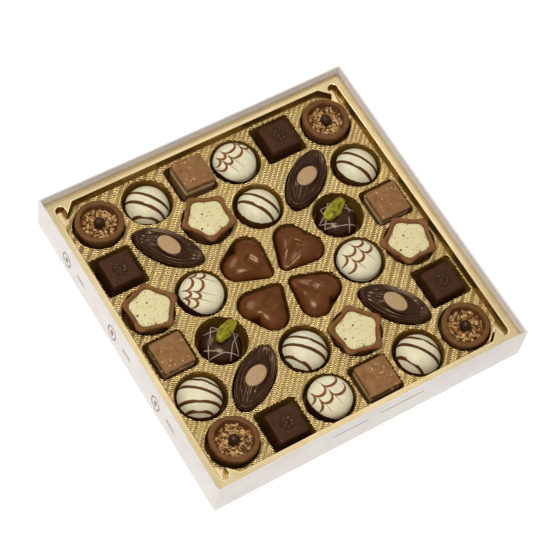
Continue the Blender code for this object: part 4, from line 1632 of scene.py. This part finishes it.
def make_heart(node):
    clay = Clay()
    base = heart_outline(0.0, HEART_POINTS)
    egg = egg_of(base)
    sections = [lifted(scaled(base, factor), z) for factor, z in HEART_WALL]
    for layer in range(1, PILLOW_RINGS):
        share = math.sin(math.pi / 2.0 * (1.0 - layer / PILLOW_RINGS))
        ring = []
        for (x, y), (egg_x, egg_y) in zip(scaled(base, HEART_WIDE), egg):
            x, y = x + (egg_x - x) * (1.0 - share ** 2), y + (egg_y - y) * (1.0 - share ** 2)
            x = HEART_CENTRE[0] + (x - HEART_CENTRE[0]) * share
            y = HEART_CENTRE[1] + (y - HEART_CENTRE[1]) * share
            ring.append((x, y, HEART_SHOULDER_Z + heart_height(share, x, y)))
        sections.append(ring)
    foot_x = area_middle(sections[0])
    clay.stack([[(x - foot_x, y, z) for x, y, z in ring] for ring in sections])
    to_middle = -foot_of(node)[0]
    seat = seat_of(node, corners=3, towards=(to_middle.x, to_middle.y))
    return dress_sweet(clay, node, [MILK], seat, "milk_chocolate")


make_all("heart", make_heart)

# %% [markdown]
# ## Nougat lenses
#
# These are shaped like a small pod. Ribs run from tip to tip and fade out under the oval of nougat that
# is let into the top. A rib follows the pod's outline, so it is drawn at a fixed share of the local
# half width, and all the ribs meet at the tips by themselves.

# %% Lenses
LENS_LAYERS = [  # half length, half width and height, up the side, into the top and up to the inlay
    (16.3, 7.6, 0.0), (17.3, 8.3, 0.5), (19.1, 9.2, 3.2), (19.8, 9.7, 6.5), (19.7, 9.65, 10.2),
    (19.4, 9.4, 12.9), (18.9, 9.0, 14.2), (18.2, 8.45, 14.7), (17.1, 7.8, 14.45), (15.4, 7.0, 14.0),
    (12.6, 6.2, 14.3), (9.9, 5.6, 15.2), (8.1, 5.1, 15.75), (7.35, 4.8, 15.85), (7.2, 4.6, 15.6),
    (7.0, 4.5, 14.6)]
LENS_WIDEST = (19.8, 9.7)
LENS_TOP_Z = 13.7  # ribs start above this height
INLAY_TURN = -20.0  # degrees
INLAY_LAYERS = ((7.0, 4.5, 14.7), (7.1, 4.55, 15.4), (6.95, 4.45, 15.8), (6.4, 4.0, 15.95), (4.0, 2.4, 16.0),
                (1.5, 0.9, 16.0))


def rib_height(x, y):
    """Ribs from tip to tip, strongest between the inlay and the tips."""
    half_length, half_width = LENS_WIDEST
    across = 1.0 - min(1.0, abs(x) / half_length) ** 1.8
    local_half = half_width * max(across, 0.02) ** (1.0 / 1.8)
    share = max(-1.0, min(1.0, y / local_half))
    strength = ramp(abs(x), 5.0, 9.0) * (1.0 - 0.5 * ramp(abs(x), 15.0, 18.5))
    rib = (math.cos(6.0 * math.pi * share) - 1.0) / 2.0
    return 0.6 * strength * rib * (1.0 - ramp(abs(share), 0.55, 0.8))


def make_lens(node):
    clay = Clay()
    layers = smooth_line(LENS_LAYERS[:-2], 3) + [Vector(layer) for layer in LENS_LAYERS[-2:]]
    sections = []
    for length, width, z in layers:
        ring = []
        inner = ramp(length, 14.0, 8.0)
        oval = turned_oval(length, width, INLAY_TURN, 144)
        for (x, y), (oval_x, oval_y) in zip(leaning(lens(length, width, 144, 2.0)), oval):
            x, y = x + (oval_x - x) * inner, y + (oval_y - y) * inner
            rib = rib_height(x - LENS_LEAN * y, y) if z > LENS_TOP_Z and length > 7.5 else 0.0
            ring.append((x, y, z + rib * ramp(z, LENS_TOP_Z, LENS_TOP_Z + 0.3)))
        sections.append(ring)
    clay.stack(sections)
    return dress_sweet(clay, node, [DARK], seat_of(node, corners=2), "dark_chocolate")


def make_inlay(node):
    """A flush oval of nougat, with a soft edge and a slightly crowned top."""
    clay = Clay()
    clay.stack([lifted(turned_oval(length, width, INLAY_TURN, 72), z) for length, width, z in INLAY_LAYERS])
    seat = seat_of("nougat_lens" + node[-3:], corners=2)
    return dress_sweet(clay, node, [NOUGAT], seat, "nougat_filling")


make_all("nougat_lens", make_lens)
make_all("nougat_inlay", make_inlay)

# %% [markdown]
# ## Cream stars
#
# A round cup with a thick, matt wall spreads at its rim into five soft points. Cream fills it to
# just below the rim, with dark specks of ground bean stirred in. The rim is lofted through star
# outlines whose tips and valleys have their own soft curve.

# %% Stars
STAR_RIM = make_finish("milk chocolate, moulded", "744928", "885a34", (0.34, 0.46), relief=0.05,
                       specular=0.35)
STAR_LAYERS = [  # radius of the tips and of the valleys, and height
    (9.6, 9.6, 0.0), (10.1, 10.1, 0.5), (11.3, 11.2, 5.0), (12.0, 11.8, 9.5), (12.9, 12.0, 11.6),
    (14.8, 12.1, 13.2), (15.5, 12.4, 14.3), (15.4, 12.3, 15.2), (14.7, 11.9, 15.8), (13.6, 11.2, 15.85),
    (12.5, 10.5, 15.5), (11.7, 9.9, 14.8), (11.3, 9.6, 13.6)]
CREAM_LAYERS = ((10.6, 9.0, 12.9), (11.5, 9.75, 14.0), (11.5, 9.8, 14.45), (11.0, 9.3, 14.65),
                (9.0, 7.9, 14.8), (6.0, 5.6, 14.85), (3.0, 3.0, 14.85), (1.0, 1.0, 14.85))
SPECKS = ((900.0, 0.34, 0.25), (480.0, 0.30, 0.6))  # cells in a metre, largest size, share without one


def make_star(node):
    clay = Clay()
    stray = wobble(seed_of(node), 0.5, (2, 3, 5, 8))
    sections = []
    for tip, valley, z in smooth_line(STAR_LAYERS, 3):
        ring = []
        for x, y in star_outline(tip, valley, 120, 1.2 + 0.8 * ramp(tip, 12.5, 15.0)):
            push = 1.0 + stray(math.atan2(y, x)) * ramp(z, 3.0, 12.0) / 12.0
            ring.append((x * push, y * push, z))
        sections.append(ring)
    clay.stack(sections)
    return dress_sweet(clay, node, [STAR_RIM], seat_of(node, corners=5), "milk_chocolate")


def cream_finish():
    """Cream with specks: the darkest spots of a cell pattern, where a second noise allows them."""
    material = make_finish("speckled cream", "ded29a", "e6dcae", (0.45, 0.6), subsurface=0.1, relief=0.03)
    tree = material.node_tree
    shader = tree.nodes["Principled BSDF"]
    plain = shader.inputs["Base Color"].links[0].from_socket
    chosen = 0.0
    for cells_per_metre, largest, share in SPECKS:
        cells = tree.nodes.new("ShaderNodeTexVoronoi")
        cells.inputs["Scale"].default_value = cells_per_metre
        tree.links.new(place_on(tree), cells.inputs["Vector"])
        split = tree.nodes.new("ShaderNodeSeparateColor")
        tree.links.new(cells.outputs["Color"], split.inputs[0])
        size = calculate(tree, "MULTIPLY", calculate(tree, "POWER", split.outputs[0], 1.5), largest)
        speck = calculate(tree, "LESS_THAN", cells.outputs["Distance"], size)
        speck = calculate(tree, "MULTIPLY", speck, calculate(tree, "GREATER_THAN", split.outputs[1], share))
        chosen = calculate(tree, "MAXIMUM", chosen, speck)
    tree.links.new(mix_colours(tree, chosen, plain, linear("3a2c1c")), shader.inputs["Base Color"])
    return material


CREAM = cream_finish()


def make_cream(node):
    clay = Clay()
    dents = wobble(seed_of(node), 0.15, (2, 3, 5))
    sections = []
    for tip, valley, z in CREAM_LAYERS:
        sections.append([(x, y, z + dents(math.atan2(y, x)) * ramp(z, 14.0, 15.0) * ramp(tip, 1.0, 6.0))
                         for x, y in star_outline(tip, valley, 90)])
    clay.stack(sections)
    seat = seat_of("cream_star" + node[-3:], corners=5)
    return dress_sweet(clay, node, [CREAM], seat, "ivory_chocolate")


make_all("cream_star", make_star)
make_all("cream_filling", make_cream)

# %% [markdown]
# ## Milk squares
#
# A square is cut from a slab with two layers: nut chocolate above, and below it a pale line of cream on
# more chocolate. The cut faces are matt, and pale flecks of nut show where the knife went through them.

# %% Milk squares
SQUARE_HALF = 9.2
FOOT_HALF = 8.8
SLAB_LAYERS = (  # half side, corner radius and height
    (SQUARE_HALF - 0.1, 0.5, 12.2), (SQUARE_HALF, 0.6, 12.4), (SQUARE_HALF, 0.6, 15.3),
    (SQUARE_HALF - 0.12, 0.6, 15.65), (SQUARE_HALF - 0.45, 0.7, 15.9), (SQUARE_HALF - 1.2, 0.6, 15.95),
    (6.0, 0.5, 15.92), (4.0, 0.4, 15.92), (2.0, 0.2, 15.92), (0.7, 0.1, 15.92))
LAYER_TOP = 12.0
LAYER_HEIGHTS = (0.0, 0.5, 4.0, 8.0, 9.3, 9.5, LAYER_TOP - 0.2, LAYER_TOP + 0.15)
CREAM_FROM = 4  # the first of these heights that is cream
FLECKS_ON_SQUARE = 26


def square_seat(node):
    """The frame of a square sweet, with its sides along X and Y."""
    return seat_of(node, corners=4, corner_angle=45.0)


def make_slab(node):
    """The block of nut chocolate on top, with uneven cut faces."""
    clay = Clay()
    sections = []
    for half, corner, z in SLAB_LAYERS:
        ring = []
        for x, y in rounded_square(half, corner, 128):
            dent = noise.noise(Vector((x / 4.0, y / 4.0, seed_of(node) + z / 4.0)))
            if z < 15.7:
                ring.append((x * (1.0 + 0.012 * dent), y * (1.0 + 0.012 * dent), z))
            else:
                ring.append((x, y, z + 0.12 * dent - 0.06))
        sections.append(ring)
    clay.stack(sections)
    return dress_sweet(clay, node, [MILK_CUT], square_seat("cream_layer" + node[-3:]), "milk_chocolate")


def make_layer(node):
    """The lower block: chocolate with a band of cream at its top."""
    clay = Clay()
    sections = []
    for z in LAYER_HEIGHTS:
        half = FOOT_HALF + (SQUARE_HALF - 0.1 - FOOT_HALF) * z / LAYER_TOP - (0.0 if z else 0.4)
        sections.append(lifted(rounded_square(half, 0.7, 128), z))
    clay.stack(sections, finish=lambda index: 0 if index >= CREAM_FROM else 1)
    return dress_sweet(clay, node, [CREAM_LAYER, MILK_CUT], square_seat(node), "ivory_chocolate")


def make_flecks():
    """Nut flecks set flush into the tops and the two visible sides of the slabs."""
    clay = Clay()
    for node in nodes_of("milk_square"):
        dice = random.Random(seed_of(node) + 5)
        seat = square_seat("cream_layer" + node[-3:])
        for _ in range(FLECKS_ON_SQUARE):
            size = dice.choice((0.4, 0.6, 0.8, 1.2))
            spot = [dice.uniform(-8.4, 8.4), dice.uniform(-8.4, 8.4), 15.72]
            if dice.random() < 0.3:
                spot = [spot[0], -SQUARE_HALF + 0.15, dice.uniform(12.8, 15.4)]
                if dice.random() < 0.5:
                    spot = [spot[1], spot[0], spot[2]]
            add_chip(clay, seat, spot, (size, size * 0.7, 0.22), dice, 0)
    return dress(clay.make("nut_flecks", [NUT_PALE], crease=40), "chopped_nuts")


make_all("milk_square", make_slab)
make_all("cream_layer", make_layer)
print("nut flecks:", len(make_flecks().data.polygons), "faces")

# %% [markdown]
# ## Dark squares
#
# A plain moulded block of dark chocolate with a small rosette on top. Its sides lean in so that it
# leaves the mould, and every edge is soft. The rosette is a ring of petals round a button, each ring
# an outline whose radius follows a cosine.

# %% Dark squares
BLOCK_LAYERS = (  # half side, corner radius and height
    (9.9, 1.0, 0.0), (10.2, 1.3, 0.4), (9.9, 1.3, 3.5), (9.4, 1.3, 8.5), (8.95, 1.3, 13.6), (8.75, 1.3, 14.5),
    (8.3, 1.2, 15.05), (7.6, 1.0, 15.2), (6.0, 0.9, 15.2))
ROSETTE_Z = 15.15
ROSETTE_LAYERS = (  # radius, how far the petals reach past it, and height over the block
    (3.9, 0.4, -0.1), (3.75, 0.45, 0.5), (3.2, 0.4, 0.85), (2.5, 0.3, 0.75), (1.8, 0.15, 0.15),
    (1.5, 0.0, 0.3), (1.25, 0.0, 0.85), (0.7, 0.0, 1.0), (0.2, 0.0, 1.0))
PETALS = 8.0


def add_rosette(clay):
    """Eight petals and a button, as a low relief with the gloss of dark chocolate."""
    sections = []
    for radius, petal, rise in ROSETTE_LAYERS:
        ring = []
        for x, y in polar(96, lambda a: radius + petal * math.cos(PETALS * a)):
            groove = petal * 1.3 * (math.cos(PETALS * math.atan2(y, x)) - 1.0) / 2.0
            ring.append((x, y, ROSETTE_Z + rise + groove * (rise > 0.2)))
        sections.append(ring)
    clay.stack(sections, 1)


def make_dark_square(node):
    clay = Clay()
    clay.stack([lifted(rounded_square(half, corner, 120), z) for half, corner, z in BLOCK_LAYERS])
    add_rosette(clay)
    return dress_sweet(clay, node, [DARK_MATTE, DARK], square_seat(node), "dark_chocolate")


make_all("dark_square", make_dark_square)

# %% [markdown]
# ## Pistachio domes
#
# A dark dome, a net of thin pale lines thrown over it, and a whole green kernel on top. The kernel is
# long and wrinkled: ridges that run from end to end, in two greens.

# %% Pistachio domes
PISTACHIO_PROFILE = [(9.6, 0.0), (10.6, 0.9), (11.5, 3.0), (11.6, 5.4), (11.0, 7.8), (9.6, 9.9), (7.4, 11.5),
                     (4.8, 12.5), (2.0, 12.95), (0.4, 13.0)]
ZIGZAGS = ((0.0, 6.2, 11.2), (0.5, 7.4, 11.3))  # turn, and how far its inner and outer corners lie out
ZIGZAG_CORNERS = 8
THREAD_WIDTH, THREAD_RISE = 0.5, 0.14


def make_pistachio_dome(node):
    clay = Clay()
    stray = wobble(seed_of(node), 0.2, (2, 3, 4))
    sections = []
    for radius, z in profile_line(PISTACHIO_PROFILE, 4):
        body = ramp(radius, 0.0, 6.0) * ramp(z, 0.0, 2.0)
        sections.append(lifted(polar(96, lambda a: radius + body * stray(a)), z))
    clay.stack(sections)
    return dress_sweet(clay, node, [DARK], seat_of(node), "dark_chocolate")


def make_drizzle():
    """A net of thin pale lines: two zigzags round the dome, out of step with each other."""
    clay = Clay()
    for node in nodes_of("pistachio_dome"):
        dice = random.Random(seed_of(node))
        seat = seat_of(node)
        for start, near, far in ZIGZAGS:
            corners = []
            for step in range(ZIGZAG_CORNERS):
                angle = start + math.tau * step / ZIGZAG_CORNERS + dice.uniform(-0.2, 0.2)
                reach = (near if step % 2 else far) + dice.uniform(-1.2, 0.2)
                corners.append((reach * math.cos(angle), reach * math.sin(angle)))
            for (ax, ay), (bx, by) in zip(corners, corners[1:] + corners[:1]):
                if dice.random() < 0.85:
                    track = [(ax + (bx - ax) * k / 12, ay + (by - ay) * k / 12) for k in range(13)]
                    lay_bead(clay, PISTACHIO_PROFILE, seat, track, THREAD_WIDTH, THREAD_RISE)
    return dress(clay.make("pale_drizzle", [DRIZZLE]), "ivory_chocolate")


make_all("pistachio_dome", make_pistachio_dome)
print("drizzle:", len(make_drizzle().data.polygons), "faces")

# %% Pistachio kernels
KERNEL_HALF_WIDTH, KERNEL_HALF_HEIGHT = 3.7, 2.6
KERNEL_RINGS, KERNEL_POINTS = 48, 60
PISTACHIO = make_finish("pistachio", "45480a", "b0a624", (0.22, 0.36), mottle=420.0, relief=0.12, grain=900.0,
                        subsurface=0.1)


def kernel_frame(node):
    """A kernel's middle and axes: the longest first, then across, then the thinnest."""
    points = [vertex.co for vertex in frame["nodes"][node].data.vertices]
    middle = sum(points, Vector()) / len(points)
    longest = max(points, key=lambda point: (point - middle).length) - middle
    along = longest.normalized()
    thin = min((Matrix.Rotation(math.radians(turn), 3, along) @ along.orthogonal().normalized()
                for turn in range(180)),
               key=lambda axis: max(abs((point - middle).dot(axis)) for point in points))
    thin = thin if thin.z > 0 else -thin
    axes = Matrix((along, thin.cross(along), thin)).transposed().to_4x4()
    return Matrix.Translation(middle) @ axes, longest.length / MM


def make_kernel(node):
    clay = Clay()
    matrix, half_length = kernel_frame(node)
    sections = []
    for step in range(1, KERNEL_RINGS):
        lean = math.pi * step / KERNEL_RINGS
        x = -math.cos(lean) * half_length
        girth = math.sin(lean) ** 0.75
        ring = []
        for y, z in polar(KERNEL_POINTS, lambda angle: 1.0):
            ridge = noise.noise(Vector((x / 8.0, 2.6 * y, 2.6 * z + seed_of(node))))
            reach = girth * (0.95 + 0.38 * ridge)
            ring.append((x, reach * KERNEL_HALF_WIDTH * y, reach * KERNEL_HALF_HEIGHT * z))
        sections.append(ring)
    clay.stack(sections)
    return dress_sweet(clay, node, [PISTACHIO], matrix, "pistachio_green")


make_all("pistachio_kernel", make_kernel)

# %% [markdown]
# ## The floor and the closing lines
#
# The floor is a wide white sheet that is lit from below, as on a light table, so that the box has
# no dark shadow round it. It is only there for the picture.

# %% Floor
FLOOR_HALF = 2.0  # metres
FLOOR_GLOW = 0.75


def make_floor():
    bm = bmesh.new()
    bmesh.ops.create_grid(bm, x_segments=8, y_segments=8, size=FLOOR_HALF)
    mesh = bpy.data.meshes.new("white_sheet")
    bm.to_mesh(mesh)
    bm.free()
    sheet = make_finish("white sheet", "c4c4c4", "c8c8c8", (0.6, 0.7), mottle=10.0)
    shader = sheet.node_tree.nodes["Principled BSDF"]
    shader.inputs["Emission Color"].default_value = (1.0, 1.0, 1.0, 1.0)
    shader.inputs["Emission Strength"].default_value = FLOOR_GLOW
    mesh.materials.append(sheet)
    floor = bpy.data.objects.new("white_sheet", mesh)
    bpy.context.scene.collection.objects.link(floor)
    return floor


print("floor, width in metres:", round(make_floor().dimensions.x, 1))
